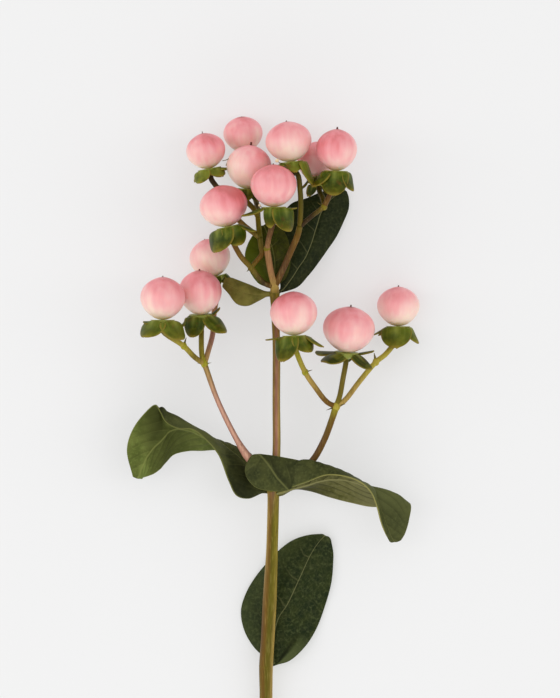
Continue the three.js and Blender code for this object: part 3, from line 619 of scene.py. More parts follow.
LEFT_LEAF = [
    # near margin, crest of the near half, midrib, far half, far margin
    ((-3.1, -3.3, 11.3), (-3.1, -2.9, 11.5), (-3.1, -2.4, 11.4), (-3.1, -1.9, 11), (-3.1, -1.5, 10.6)),
    ((-7.3, -5, 11.8), (-7, -1.5, 11.6), (-6.7, 2.4, 10.8), (-6.4, 5.7, 9.8), (-6.4, 8.1, 8.4)),
    ((-10.9, -4.2, 13), (-10.3, 1.5, 12.6), (-9.8, 6.9, 11.4), (-9.7, 9.3, 9.8), (-9.8, 9.6, 7.6)),
    ((-13.3, 0.3, 14.6), (-13.3, 5.7, 13.8), (-13.3, 9.8, 12), (-13, 11.2, 9.8), (-13, 9, 7)),
    ((-16.3, 8.1, 16.4), (-16.6, 11.1, 15), (-16.9, 12.6, 12.8), (-16.9, 12, 10.2), (-17.2, 9.6, 7.4)),
    ((-20.2, 12.8, 17.4), (-20.5, 14.8, 15.8), (-20.8, 13.8, 13), (-21.1, 11.7, 10.6), (-21.4, 9.4, 8)),
    ((-24.1, 15.8, 17.8), (-24.4, 16.8, 15.8), (-24.4, 15.4, 13), (-25, 12.6, 10.4), (-25.6, 9.3, 7.8)),
    ((-28.6, 16.1, 18.2), (-28.6, 19.5, 16.2), (-28.9, 16.1, 13.2), (-29.2, 12.3, 10.8), (-30.1, 8.1, 8.6)),
    ((-32.2, 18.1, 18.4), (-31.9, 21, 16.6), (-31.6, 15.1, 13.6), (-31.3, 10.8, 11.2), (-32.2, 6, 9)),
    ((-33.8, 21, 18.3), (-33.5, 22.2, 17), (-32.6, 13.8, 13.7), (-32.3, 9.6, 11.4), (-33.1, 5, 9.2)),
    ((-35.3, 23.2, 17.6), (-34.7, 20.7, 16.8), (-34, 12.3, 13.6), (-33.4, 8.4, 11.4), (-34, 3.9, 9.4)),
    ((-38.8, 20.4, 16.8), (-37.6, 15.3, 15.6), (-36.4, 9.9, 13.2), (-35.8, 6.3, 11.2), (-35.9, 2.5, 9.4)),
    ((-42.4, 15.3, 15.2), (-40.3, 11.4, 14.4), (-38.2, 7.2, 12.4), (-37.6, 4.2, 11), (-37.7, 1.8, 9.6)),
    ((-43.9, 9.6, 13.4), (-41.8, 6.9, 12.8), (-39.5, 4.3, 11.4), (-39.2, 2.5, 10.6), (-39.4, 1.2, 9.8)),
    ((-42.2, 1.6, 11), (-41.5, 1.3, 10.8), (-40.8, 1.1, 10.6), (-40, 1, 10.3), (-39.4, 0.9, 10)),
]
RIGHT_LEAF = [
    # near margin, crest of the near half, midrib, far half, far margin
    ((2.9, -2.9, 15.4), (2.8, -2.5, 14.8), (2.6, -3, 14.2), (2.7, -3.4, 13.6), (2.8, -3.9, 13)),
    ((6.2, -1.3, 18), (5.6, 4.5, 17), (5.6, -1.9, 14.2), (5.8, -2.1, 12.8), (6.2, -2.2, 11.4)),
    ((10.1, 0.1, 19.8), (9.2, 6.5, 17.3), (9.8, -0.8, 14), (10.3, -1.5, 11.7), (11, -2.7, 9.2)),
    ((15.8, 2.2, 20.6), (15.2, 5.2, 17.6), (15.5, 0.8, 13.4), (16.1, -1.8, 10.4), (17, -4.6, 7.4)),
    ((21.5, 1.8, 20), (21.2, 3, 17.2), (21.2, 0.9, 13.2), (22.4, -2.5, 10), (23.6, -6.3, 7)),
    ((26.3, -0.1, 18.6), (26.3, 0.2, 16), (26, -0.4, 13.6), (28.4, -3.6, 10.6), (30.2, -7.5, 7.6)),
    ((29.3, -3.1, 17), (29.5, -1.8, 15.4), (29.9, -2.1, 13.4), (33.2, -2.5, 11.6), (36.5, -6.6, 8.4)),
    ((31.1, -7.5, 15.4), (31.3, -6.6, 14), (31.7, -6.5, 12.6), (36.8, -4.3, 11.8), (41, -6.6, 9.6)),
    ((32.3, -12, 13.8), (32.6, -11.7, 12.8), (33.4, -11.4, 11.8), (37.1, -10.8, 11), (40.7, -11.4, 9.4)),
    ((34, -16.3, 11.3), (34.6, -16.5, 10.9), (35.4, -16.5, 10.6), (37.2, -16.1, 10.2), (39.4, -15.7, 9.4)),
    ((34.9, -17.7, 10.2), (35.5, -18, 10.1), (36.4, -18.1, 10), (37.4, -17.9, 9.9), (38.3, -17.5, 9.6)),
]
RIGHT_LEAF_LOBE = [
    # lower margin, vein, upper margin
    ((8.9, 0, 17.6), (9.2, 3.3, 16.4), (9.8, 6.1, 15.4)),
    ((5, -2.1, 17.4), (5.5, 2.4, 18.2), (5.6, 7, 17.2)),
    ((2, -2.7, 17.4), (2.3, 2.7, 18.6), (2.3, 7.6, 17.2)),
    ((-1.6, -2.5, 17.3), (-1, 4.2, 18.6), (-1, 8.1, 17.1)),
    ((-5.2, -1.5, 17), (-4.1, 4.5, 18.2), (-4, 8.4, 16.9)),
    ((-7.6, 0.9, 16.5), (-7, 4.8, 17.5), (-6.2, 8.2, 16.8)),
    ((-8.4, 3, 16.2), (-8.2, 4.5, 16.6), (-7.7, 6.1, 16.5)),
]
TOP_RIGHT_LEAF = [
    # left margin, midrib, right margin
    ((2, 57.9, 13.7), (2.5, 57.4, 13.7), (2.9, 57, 13.7)),
    ((1.7, 61.8, 12.6), (5.3, 60.9, 12.4), (7.4, 58.6, 10.8)),
    ((0.8, 66.6, 11.2), (7.7, 64.6, 10.8), (10.3, 61.9, 8.6)),
    ((0.5, 71.1, 9.8), (9.8, 67.8, 9.4), (12.8, 65.2, 6.9)),
    ((1.1, 75.6, 8.6), (11.6, 72.3, 8), (16.1, 69.6, 5.2)),
    ((2.6, 80.1, 7.6), (13, 76.8, 6.8), (19, 73.6, 3.8)),
    ((5.3, 83.5, 6.6), (14.3, 80.8, 5.6), (21.2, 78.3, 2.7)),
    ((9.8, 85.2, 5), (16.4, 84, 4.4), (22.6, 82.2, 1.8)),
    ((15.5, 87.5, 3.2), (19.3, 86.4, 3), (22.6, 85.5, 1.4)),
    ((20.9, 88.3, 1.8), (21.5, 87.8, 1.7), (22.1, 87.2, 1.4)),
]
TOP_BACK_LEAF = [
    # left margin, midrib, right margin
    ((-0.8, 58, 14.2), (-0.1, 58.3, 14.75), (0.7, 58.5, 14.5)),
    ((-4.3, 59.5, 13.2), (0.2, 61.2, 14.4), (3.5, 60.9, 13.9)),
    ((-7, 63.1, 12.6), (0.5, 65.4, 14.5), (5, 64.8, 14)),
    ((-8.5, 67.5, 12), (-0.1, 69.5, 14.2), (5, 70.2, 13.8)),
    ((-7.6, 71.4, 11.8), (-1.3, 72.9, 13.6), (3.8, 74.1, 13.4)),
    ((-5.6, 74.7, 11.8), (-2.3, 75.8, 12.8), (1.1, 77, 12.8)),
    ((-4.1, 76.5, 11.8), (-2.9, 77, 12), (-1.7, 77.4, 12)),
]
TOP_LEFT_LEAF = [
    # upper margin, midrib, lower margin
    ((-1.9, 57.1, 15.8), (-1.9, 56.4, 16.2), (-1.9, 55.6, 15.8)),
    ((-4, 57.8, 13.8), (-4, 56.1, 15.4), (-4.3, 54.4, 14.6)),
    ((-7, 59.1, 12), (-7, 56.4, 14.2), (-7.7, 52.8, 13.6)),
    ((-10.3, 60.4, 10.4), (-10.1, 57.4, 12.6), (-10.9, 53.4, 12.4)),
    ((-13, 61.3, 9.2), (-12.8, 58.9, 11), (-13.4, 56.5, 10.8)),
    ((-14.8, 60.9, 8.8), (-14.9, 59.8, 9.4), (-15.2, 58.5, 9.4)),
]
# The vein that crosses the lobe, seen from above
LOBE_RIB = [(-6.7, 9.9), (-3.7, 7.8), (-1.9, 5.7), (-0.7, 4.2), (1.1, 1.5), (4.4, -2.1)]


def seated(rows, step):
    """The rows with one more at the base, a step nearer the wood."""
    return [[tuple(Vector(point) + Vector(step)) for point in rows[0]]] + rows


# %% [markdown]
# ## Veins and bulges
# The midrib and the side veins are sunk in the upper side and stand out below, and the blade
# bulges between them. A grid is laid over the rows, and its points are then moved along their
# normals by these small depths. Every point also keeps how many side veins lie between it and the
# base, its distance from the midrib and a tint, so the finish can draw sharp veins from them.
# %% Laying out a blade
MIDRIB_WIDTH = 0.45
VEIN_DEPTH = 0.16
CURL_OF_VEIN = 0.03


def distance_from_line(point, line):
    """Signed distance, seen from above, from a point to a line of (x, y) points."""
    nearest = None
    for start, end in zip(line, line[1:]):
        start, end = Vector(start), Vector(end)
        along = max(0, min(1, (point - start).dot(end - start) / (end - start).length_squared))
        offset = point - (start + (end - start) * along)
        side = 1 if (end - start).cross(point - start) < 0 else -1
        if nearest is None or offset.length < abs(nearest):
            nearest = side * offset.length
    return nearest


def lay_blade(bm, rows, along, across, spacing, slope=0.47, bulge=0.12, upper=1, wave=0.0, ripples=0,
              rib=None, tint=None):
    """Adds a blade to bm. upper is 1 where the sheet's normals leave its upper side, or -1.

    spacing and slope place the side veins, which stand by turns left and right, and bulge lifts
    the blade between them. wave and ripples ruffle its margin. rib is a line that takes the
    midrib's place, and tint gives each point a paler or a darker shade.
    """
    place_layer = bm.verts.layers.float_vector["blade_place"]
    uv_layer = bm.loops.layers.uv["blade"]
    rails = [[Vector(row[k]) for row in rows] for k in range(len(rows[0]))]
    sheet = bmesh.ops.create_grid(bm, x_segments=across, y_segments=along, size=1)["verts"]
    steps = {}
    for vert in sheet:
        steps[vert] = (round((vert.co.y + 1) / 2 * along), round((vert.co.x + 1) / 2 * across))
    lines = []
    for i in range(along + 1):
        cross = [curve_point(rail, i / along) for rail in rails]
        lines.append([curve_point(cross, j / across) for j in range(across + 1)])
    for vert, (i, j) in steps.items():
        vert.co = lines[i][j]
    bm.normal_update()
    middle = across // 2
    travelled = [0.0]
    for i in range(along):
        travelled.append(travelled[-1] + (lines[i + 1][middle] - lines[i][middle]).length)
    from_midrib = []
    for line in lines:
        reach = [0.0]
        for first, second in zip(line, line[1:]):
            reach.append(reach[-1] + (second - first).length)
        from_midrib.append([place - reach[middle] for place in reach])
    moves = {}
    for vert, (i, j) in steps.items():
        u, v = i / along, j / across
        signed = distance_from_line(vert.co.xy, rib) if rib else from_midrib[i][j]
        away = abs(signed)
        turn = (travelled[i] - slope * away - CURL_OF_VEIN * away**2) / spacing
        shade = tint(u, v, signed) if tint else 0.0
        vert[place_layer] = (turn, signed, shade)
        at_side_vein = turn + (0.5 if signed < 0 else 0)
        fade = (1 - abs(2 * v - 1) ** 2.5) * min(1, away) * math.sin(math.pi * u) ** 0.4
        lift = bulge * fade * (0.5 - 0.5 * math.cos(2 * math.pi * at_side_vein))
        sink = VEIN_DEPTH * math.exp(-((signed / MIDRIB_WIDTH) ** 2)) * math.sin(math.pi * u) ** 0.3
        edge = abs(2 * v - 1) ** 3 * math.sin(math.pi * u)
        ripple = wave * edge * math.sin(2 * math.pi * ripples * u + math.pi * v)
        moves[vert] = vert.normal * (ripple + upper * (lift - sink))
    for vert, move in moves.items():
        vert.co += move
        for loop in vert.link_loops:
            i, j = steps[vert]
            loop[uv_layer].uv = (j / across, i / along)


# %% [markdown]
# ## Two sides of a leaf
# The upper side is dark green with fine pale veins and a soft sheen. The underside is paler and
# yellower. A thin pale line runs round the margin. The blade's own places draw the veins: a
# distance from the midrib of nought is the midrib, and every whole number of side veins is a vein.
# That keeps them sharp without a picture. Fine stipple and a faint net of cells lie between them,
# and just short of each side vein the blade is darkened with painted shade, where it creases.
# %% Leaf finishes
def side_veins(tree, place, right_veins):
    """How far each point has come from one side vein to the next, and how strong they are there."""
    turn, from_midrib = place.outputs["X"], place.outputs["Y"]
    left = calculate(tree, "LESS_THAN", from_midrib, 0.0)
    wander = stretched_noise(tree, attribute(tree, "blade_place").outputs["Vector"], (0.7, 0.2, 0.0))
    wandered = calculate(tree, "ADD", turn, remap(tree, wander, 0.2, 0.8, -0.1, 0.1))
    placed = calculate(tree, "ADD", wandered, calculate(tree, "MULTIPLY", left, 0.5))
    return calculate(tree, "FRACT", placed), remap(tree, left, 0.0, 1.0, right_veins, 1.0)


def leaf_finish(name, deep, light, vein, margin, pale, dark, veins=0.8, crease_shadows=0.2, right_veins=1.0):
    """A leaf side: deep and light mottle it, vein and margin draw on it, pale and dark shade it."""
    finish, tree, skin = new_finish(name)
    where = add_node(tree, "ShaderNodeTexCoord")
    solid, blade = where.outputs["Object"], where.outputs["UV"]
    across = add_node(tree, "ShaderNodeSeparateXYZ", {0: blade}).outputs["X"]
    place = add_node(tree, "ShaderNodeSeparateXYZ", {0: attribute(tree, "blade_place").outputs["Vector"]})
    from_middle = calculate(tree, "ABSOLUTE", calculate(tree, "SUBTRACT", across, 0.5))
    patches = stretched_noise(tree, solid, (280, 280, 280), detail=6)
    colour = mix_colours(tree, remap(tree, patches, 0.32, 0.68), chart(*deep), chart(*light))
    stipple = stretched_noise(tree, solid, (1100, 1100, 1100), detail=2)
    colour = mix_colours(tree, remap(tree, stipple, 0.5, 0.72, 0.0, 0.5), colour, chart(*pale))
    voronoi = {"Vector": solid, "Scale": 620.0}
    cells = add_node(tree, "ShaderNodeTexVoronoi", voronoi, feature="DISTANCE_TO_EDGE").outputs["Distance"]
    colour = mix_colours(tree, remap(tree, cells, 0.0, 0.1, 0.09, 0.0), colour, chart(*vein))
    shade = place.outputs["Z"]
    colour = mix_colours(tree, remap(tree, shade, 0.0, 1.0), colour, chart(*pale))
    colour = mix_colours(tree, remap(tree, shade, 0.0, -1.0), colour, chart(*dark))
    phase, strength = side_veins(tree, place, right_veins)
    inside = remap(tree, from_middle, 0.3, 0.48, 1.0, 0.0)
    # Painted shade: the blade darkens just short of each side vein, where it creases
    crease_shadow = calculate(tree, "MULTIPLY", remap(tree, phase, 0.55, 1.0, 0.0, crease_shadows), inside)
    colour = mix_colours(tree, calculate(tree, "MULTIPLY", crease_shadow, strength), colour, chart(*dark))
    off_vein = calculate(tree, "PINGPONG", phase, 0.5)
    fade = calculate(tree, "MULTIPLY", remap(tree, from_middle, 0.06, 0.36, 0.4, 0.0), strength)
    side_vein = calculate(tree, "MULTIPLY", remap(tree, off_vein, 0.0, 0.05, 1.0, 0.0), fade)
    midrib = remap(tree, calculate(tree, "ABSOLUTE", place.outputs["Y"]), 0.08, 0.28, 1.0, 0.0)
    drawn = calculate(tree, "MULTIPLY", calculate(tree, "MAXIMUM", midrib, side_vein), veins)
    colour = mix_colours(tree, drawn, colour, chart(*vein))
    colour = mix_colours(tree, remap(tree, from_middle, 0.484, 0.497, 0.0, 0.75), colour, chart(*margin))
    height = calculate(tree, "SUBTRACT", cells, drawn)
    bump = add_node(tree, "ShaderNodeBump", {"Height": height, "Strength": 0.35, "Distance": 0.00012})
    tree.links.new(colour, skin.inputs["Base Color"])
    tree.links.new(bump.outputs[0], skin.inputs["Normal"])
    skin.inputs["Roughness"].default_value = 0.5
    skin.inputs["Specular IOR Level"].default_value = 0.08
    return finish


dark_upper = leaf_finish(
    "dark leaf, upper side", deep=(24, 36, 14), light=(45, 53, 20), vein=(116, 116, 76), margin=(50, 58, 26),
    pale=(82, 90, 52), dark=(22, 27, 4), right_veins=0.25,
)
fresh_upper = leaf_finish(
    "young dark leaf, upper side", deep=(36, 44, 6), light=(72, 70, 20), vein=(118, 120, 62),
    margin=(66, 70, 24), pale=(74, 84, 4), dark=(24, 30, 8),
)
middle_upper = leaf_finish(
    "middle leaf, upper side", deep=(48, 53, 25), light=(72, 75, 37), vein=(98, 100, 56),
    margin=(112, 114, 58), pale=(86, 90, 50), dark=(26, 29, 12), crease_shadows=0.3,
)
middle_under = leaf_finish(
    "middle leaf, underside", deep=(80, 90, 36), light=(106, 114, 54), vein=(128, 132, 70),
    margin=(130, 134, 66), pale=(114, 128, 62), dark=(52, 56, 18), veins=0.5, crease_shadows=0.4,
)
right_under = leaf_finish(
    "right leaf, underside", deep=(78, 78, 34), light=(108, 106, 62), vein=(146, 142, 92),
    margin=(148, 142, 80), pale=(122, 120, 78), dark=(48, 48, 18), veins=0.7, crease_shadows=0.7,
)
young_side = leaf_finish(
    "young leaf", deep=(94, 90, 36), light=(124, 116, 54), vein=(134, 124, 62), margin=(112, 92, 46),
    pale=(124, 112, 56), dark=(70, 54, 28), veins=0.4,
)

# %% [markdown]
# ## The six leaves
# The lower leaf lies open, and its margin is a little rolled near the base, with painted light on
# the roll and painted shade in the fold beside it. The two middle leaves arch over and turn their
# undersides up past the crest. Three younger leaves sit at the top node, behind the spray. Solidify
# gives each sheet its thickness, thinner towards the margin, and puts the second finish on its
# other side.
# %% Making the leaves
LEAF_THICKNESS = 0.7
MARGIN_THINNING = 0.45


def hump(place, middle, reach):
    """One at the middle, falling to nought at a reach to either side."""
    return max(0, 1 - ((place - middle) / reach) ** 2)


def rolled_margin_light_and_shade(u, v, signed):
    """Pale at left margin and tip, painted light on the rolled right margin, painted shade in its fold."""
    near_base = hump(u, 0.17, 0.15)
    # Painted light on the rolled margin near the base, and painted shade in the fold beside it
    lit_roll = max(0, min(1, (v - 0.84) / 0.04))
    fold_shadow = math.exp(-(((v - 0.81) / 0.03) ** 2))
    fresh = 0.3 * max(0, 1 - v / 0.35) + 0.35 * max(0, (u - 0.85) / 0.15)
    return near_base * (0.8 * lit_roll - fold_shadow) + fresh


def lobe_face(u, v, signed):
    """Darker just right of the lobe's vein and a little darker beyond."""
    return -0.4 * math.exp(-((signed + 1) ** 2)) - 0.15 * max(0, min(1, -signed / 0.8))


def shaded(u, v, signed):
    """Darker all over, where the berries keep the light away."""
    return -0.5


def left_shade(u, v, signed):
    """Darker near the base, past the crest and in the underside's hollow, paler on crest and tip."""
    above = max(0, min(1, (0.5 - v) / 0.1))
    near = 0.8 * hump(u, 0.42, 0.15) - 0.7 * hump(u, 0.18, 0.12) - 0.9 * hump(u, 0.73, 0.13)
    far = 0.6 * max(0, min(1, (u - 0.83) / 0.08)) - 0.75 * hump(u, 0.64, 0.26)
    return above * near + (1 - above) * far


def right_shade(u, v, signed):
    """Darker where the underside starts to turn up, and palest just past the crest."""
    below = max(0, min(1, (v - 0.5) / 0.1))
    crest = max(0, min(1, (u - 0.45) / 0.12)) - 0.7 * max(0, min(1, (u - 0.72) / 0.08))
    return crest - 0.7 * below * hump(u, 0.27, 0.13)


def fresh_side(u, v, signed):
    """Greener on the left half of the leaf behind the spray."""
    return max(0, min(1, 1.4 - 3 * v))


def make_leaf(solid, sides, blades):
    """Makes one leaf: sides are the finishes of the sheet's front and back."""
    bm = bmesh.new()
    bm.verts.layers.float_vector.new("blade_place")
    bm.loops.layers.uv.new("blade")
    for settings in blades:
        lay_blade(bm, **settings)
    leaf = finished_piece(solid + "_blade", bm, solid, sides)
    edges = leaf.vertex_groups.new(name="thickness")
    uv = leaf.data.uv_layers["blade"].data
    for loop in leaf.data.loops:
        edge = abs(2 * uv[loop.index].uv.x - 1) ** 4
        edges.add([loop.vertex_index], 1 - MARGIN_THINNING * edge, "REPLACE")
    wall = leaf.modifiers.new("thickness", "SOLIDIFY")
    wall.thickness = LEAF_THICKNESS * MM
    wall.offset = 0
    wall.vertex_group = "thickness"
    wall.material_offset = 1
    return leaf


make_leaf("leaf_lower", [dark_upper, middle_under], [dict(
    rows=seated(LOWER_LEAF, (-1.4, -0.6, 0.4)), along=150, across=72, spacing=8.0,
    wave=0.4, ripples=3, tint=rolled_margin_light_and_shade,
)])
make_leaf("leaf_middle_left", [middle_upper, middle_under], [dict(
    rows=seated(LEFT_LEAF, (2.0, -0.2, 0)), along=180, across=80, spacing=4.4, slope=1.3, bulge=0.16,
    tint=left_shade,
)])
make_leaf("leaf_middle_right", [right_under, middle_upper], [
    dict(
        rows=seated(RIGHT_LEAF, (-1.6, -0.4, -1)), along=180, across=80, spacing=4.2, slope=1.3,
        bulge=0.15, upper=-1, tint=right_shade,
    ),
    dict(
        rows=[row[::-1] for row in RIGHT_LEAF_LOBE], along=90, across=60, spacing=7.0, bulge=0.05,
        rib=LOBE_RIB, tint=lobe_face,
    ),
])
make_leaf("leaf_top_right", [dark_upper, middle_under], [dict(
    rows=seated(TOP_RIGHT_LEAF, (-1.2, -0.4, 0.6)), along=120, across=60, spacing=6.5, wave=0.4, ripples=2,
    tint=shaded,
)])
make_leaf("leaf_top_back", [fresh_upper, middle_under], [dict(
    rows=seated(TOP_BACK_LEAF, (0.3, -0.9, 0.3)), along=90, across=56, spacing=4.5, tint=fresh_side,
)])
make_leaf("leaf_top_left", [young_side, young_side], [dict(
    rows=seated(TOP_LEFT_LEAF, (1.4, 0, 0.2)), along=80, across=44, spacing=4.5, upper=-1,
)])

# %% [markdown]
# ## Berry skin
# A berry is a slightly flattened ball with three faint lobes and a short tip that carries three
# dried styles. A sphere is reshaped point by point, and each point keeps its place on the berry as
# an attribute, so the blush can follow the berry's own axis however it leans.
# %% Shaping a berry
LOBE, BASE_TAPER, CROWN_TAPER, FULLNESS, TIP = 0.014, 0.1, 0.03, 0.06, 0.035
STREAK_SHIFT = 7
STYLE_SINK = 0.55
STYLE_TILT = math.radians(7)


def shape_berry(bm, number, berry):
    """Adds a berry's skin. One that lies on the table is pressed flat there."""
    place = bm.verts.layers.float_vector["skin_place"]
    ripeness = bm.verts.layers.float["ripeness"]
    upright = Matrix.Rotation(math.radians(-90), 4, "X")
    frame_of_berry = berry_frame(berry)
    ball = bmesh.ops.create_uvsphere(bm, u_segments=72, v_segments=44, radius=1, matrix=upright)
    for vert in ball["verts"]:
        x, y, z = vert.co
        lobe = 1 + LOBE * math.cos(3 * math.atan2(x, z))
        taper = (BASE_TAPER if y < 0 else CROWN_TAPER) * y * y
        radius = berry["width"] / 2 * lobe * (1 - taper)
        rise = berry["height"] / 2 * (y + FULLNESS * (1 - y * y) + TIP * max(0, y) ** 16)
        vert[place] = (x + STREAK_SHIFT * number, y, z)
        # The side term deepens one side's tone: partly a rosier side, and partly painted shade, as on berry
        # 6
        vert[ripeness] = berry["ripeness"] + berry["side_blush_and_shade"] * x
        vert.co = frame_of_berry @ Vector((x * radius, rise, z * radius))
        if berry.get("on_table"):
            vert.co.z = max(vert.co.z, 0)


def add_styles(bm, berry):
    """Adds three dried styles at the tip, which lean apart a little."""
    length, radius = berry["styles"]
    stand = Matrix.Rotation(math.radians(-90), 4, "X")
    foot = Matrix.Translation((0, berry["height"] / 2 - STYLE_SINK, 0))
    for k in range(3):
        turn = Matrix.Rotation(2 * math.pi * k / 3, 4, "Y") @ Matrix.Rotation(STYLE_TILT, 4, "X")
        lift = Matrix.Translation((0, length / 2, 0))
        style = bmesh.ops.create_cone(
            bm, cap_ends=True, segments=10, radius1=radius, radius2=radius / 5, depth=length,
            matrix=berry_frame(berry) @ foot @ turn @ lift @ stand,
        )
        for face in {face for vert in style["verts"] for face in vert.link_faces}:
            face.material_index = 1


# %% [markdown]
# ## Blush
# The skin is cream at the base, pale pink in the middle and rose towards the tip, with soft
# streaks that run down from the tip. A ramp over the height gives these tones, and three layers of
# noise, from broad patches to fine streaks, move their boundaries. Light enters the flesh a little,
# so the finish scatters it under the surface, and the bloom on the skin keeps its shine soft. A
# few small specks and a darker tip lie on top.
# %% The berries' finish
def berry_finish():
    finish, tree, skin = new_finish("berry skin")
    place = attribute(tree, "skin_place").outputs["Vector"]
    height = add_node(tree, "ShaderNodeSeparateXYZ", {0: place}).outputs["Y"]
    ripeness = attribute(tree, "ripeness").outputs["Fac"]
    streaks = remap(tree, stretched_noise(tree, place, (2.6, 0.4, 2.6), detail=3), 0.3, 0.7, -0.34, 0.34)
    patches = remap(tree, stretched_noise(tree, place, (1.2, 0.7, 1.2), detail=1), 0.3, 0.7, -0.26, 0.26)
    fine = remap(tree, stretched_noise(tree, place, (5, 0.5, 5), detail=2), 0.3, 0.7, -0.1, 0.1)
    level = calculate(tree, "ADD", height, calculate(tree, "ADD", streaks, patches))
    level = calculate(tree, "ADD", level, fine)
    level = calculate(tree, "ADD", level, ripeness)
    # The deepest stop colours the ripest tips, and also the painted shade on berry 6's right side
    tones = ramp(tree, remap(tree, level, -1.0, 1.6), [
        (0.0, chart(250, 220, 202)), (0.1, chart(249, 210, 197)), (0.26, chart(246, 194, 187)),
        (0.52, chart(241, 163, 165)), (0.77, chart(231, 132, 138)), (1.0, chart(206, 104, 104)),
    ])
    speck_field = add_node(tree, "ShaderNodeTexVoronoi", {"Vector": place, "Scale": 9.0})
    specks = remap(tree, speck_field.outputs["Distance"], 0.04, 0.08, 0.3, 0.0)
    speckled = mix_colours(tree, specks, tones, chart(206, 128, 120))
    tip = remap(tree, height, 0.97, 1.0, 0.0, 0.8)
    tipped = mix_colours(tree, tip, speckled, chart(150, 62, 58))
    tree.links.new(tipped, skin.inputs["Base Color"])
    skin.inputs["Subsurface Weight"].default_value = 0.3
    skin.inputs["Subsurface Radius"].default_value = (1.0, 0.45, 0.35)
    skin.inputs["Subsurface Scale"].default_value = 0.0015
    skin.inputs["Roughness"].default_value = 0.38
    skin.inputs["Specular IOR Level"].default_value = 0.55
    return finish


def dried_finish(name, dark, light):
    finish, tree, skin = new_finish(name)
    where = add_node(tree, "ShaderNodeTexCoord").outputs["Object"]
    grain = stretched_noise(tree, where, (3000, 1200, 3000))
    colour = mix_colours(tree, grain, chart(*dark), chart(*light))
    tree.links.new(colour, skin.inputs["Base Color"])
    skin.inputs["Roughness"].default_value = 0.8
    return finish


berry_skin = berry_finish()
dried_style = dried_finish("dried style", (66, 32, 26), (112, 62, 46))
for number, berry in BERRIES.items():
    bm = bmesh.new()
    bm.verts.layers.float_vector.new("skin_place")
    bm.verts.layers.float.new("ripeness")
    shape_berry(bm, number, berry)
    add_styles(bm, berry)
    solid = f"berry_{number:02d}"
    finished_piece(solid + "_skin", bm, solid, [berry_skin, dried_style])

# %% [markdown]
# ## Sepals
# Five sepals sit under each berry. They leave a small cup almost level, and most bend down past
# it. Each is a blunt oval that curls down at its sides, with a soft groove along its midrib. A
# small grid is laid along the bent midline, its width follows the oval, and an operator gives the
# sheet its thickness. A sepal is drawn from four numbers, so no two have to be alike.
# %% Shaping a calyx
SEPAL_SPREAD, SEPAL_CUP = 3.0, 0.3
ROOT_FALL = 5
SEPAL_STEPS = [0, 0.15, 0.4, 0.45]
SEPAL_THICKNESS = 0.4
SEPAL_ROWS, SEPAL_COLUMNS = 20, 14
GROOVE_DEPTH, BUCKLE = 0.12, 0.14
OWN_GREEN = 0.3
WIDEST = 0.5
ROOT_WIDTH = 0.4
TIP_END, TIP_BLUNTNESS = 1.005, 0.55
RECEPTACLE_RADIUS, PEDICEL_RADIUS = 3.7, 0.95


def sepal_midline(height, turn, length, droop):
    """Points along a sepal's midline, the way its upper face looks at each, and its sideways."""
    outward = Vector((math.sin(math.radians(turn)), 0, math.cos(math.radians(turn))))
    point = outward * SEPAL_SPREAD + Vector((0, -height / 2 - CLEARANCE, 0))
    points, faces = [], []
    for step in SEPAL_STEPS:
        if points:
            point = point + (outward * math.cos(fall) + Vector((0, -math.sin(fall), 0))) * (length * step)
        fall = math.radians(droop if points else min(droop, ROOT_FALL))
        points.append(point.copy())
        faces.append(outward * math.sin(fall) + Vector((0, math.cos(fall), 0)))
    return points, faces, Vector((outward.z, 0, -outward.x))


def sepal_width(t):
    """The share of the full width at t, from the root at 0 to the blunt tip at 1."""
    if t < WIDEST:
        return ROOT_WIDTH + (1 - ROOT_WIDTH) * math.sin(math.pi / 2 * t / WIDEST)
    return max(0, 1 - ((t - WIDEST) / (TIP_END - WIDEST)) ** 2) ** TIP_BLUNTNESS


def add_sepal(bm, berry, turn, length, width, droop):
    """Adds one sepal in the berry's own frame: turn and droop are in degrees."""
    place = bm.verts.layers.float_vector["sepal_place"]
    points, faces, sideways = sepal_midline(berry["height"], turn, length, droop)
    grid = bmesh.ops.create_grid(bm, x_segments=SEPAL_COLUMNS, y_segments=SEPAL_ROWS, size=1)
    sheet = grid["verts"]
    own = noise.noise(Vector((turn * 0.13, length, width)))
    for vert in sheet:
        x = vert.co.x
        t = math.sin(math.pi / 4 * (vert.co.y + 1))
        half = width / 2 * sepal_width(t)
        face = curve_point(faces, t).normalized()
        groove = GROOVE_DEPTH * math.exp(-((x * 3) ** 2)) * math.sin(math.pi * t)
        buckle = BUCKLE * math.sin(5 * t + turn) * abs(x) ** 3
        arch = -SEPAL_CUP * half * x * x - groove + buckle
        vert[place] = (x, t, berry["green"] + OWN_GREEN * own)
        vert.co = curve_point(points, t) + sideways * (half * x) + face * (arch + SEPAL_THICKNESS / 2)
    bm.normal_update()
    skin = list({face for vert in sheet for face in vert.link_faces})
    if sum(face.normal.dot(faces[1]) for face in skin) < 0:
        bmesh.ops.reverse_faces(bm, faces=skin)
    bmesh.ops.solidify(bm, geom=skin, thickness=SEPAL_THICKNESS)


def add_receptacle(bm, berry):
    """Adds the small cup between the pedicel and the berry."""
    place = bm.verts.layers.float_vector["sepal_place"]
    depth = RECEPTACLE_HEIGHT + CLEARANCE
    middle = -berry["height"] / 2 - depth / 2
    stand = Matrix.Rotation(math.radians(-90), 4, "X")
    cup = bmesh.ops.create_cone(
        bm, cap_ends=True, segments=28, radius1=PEDICEL_RADIUS, radius2=RECEPTACLE_RADIUS, depth=depth,
        matrix=Matrix.Translation((0, middle, 0)) @ stand,
    )
    for vert in cup["verts"]:
        vert[place] = (0, 0.05, berry["green"])


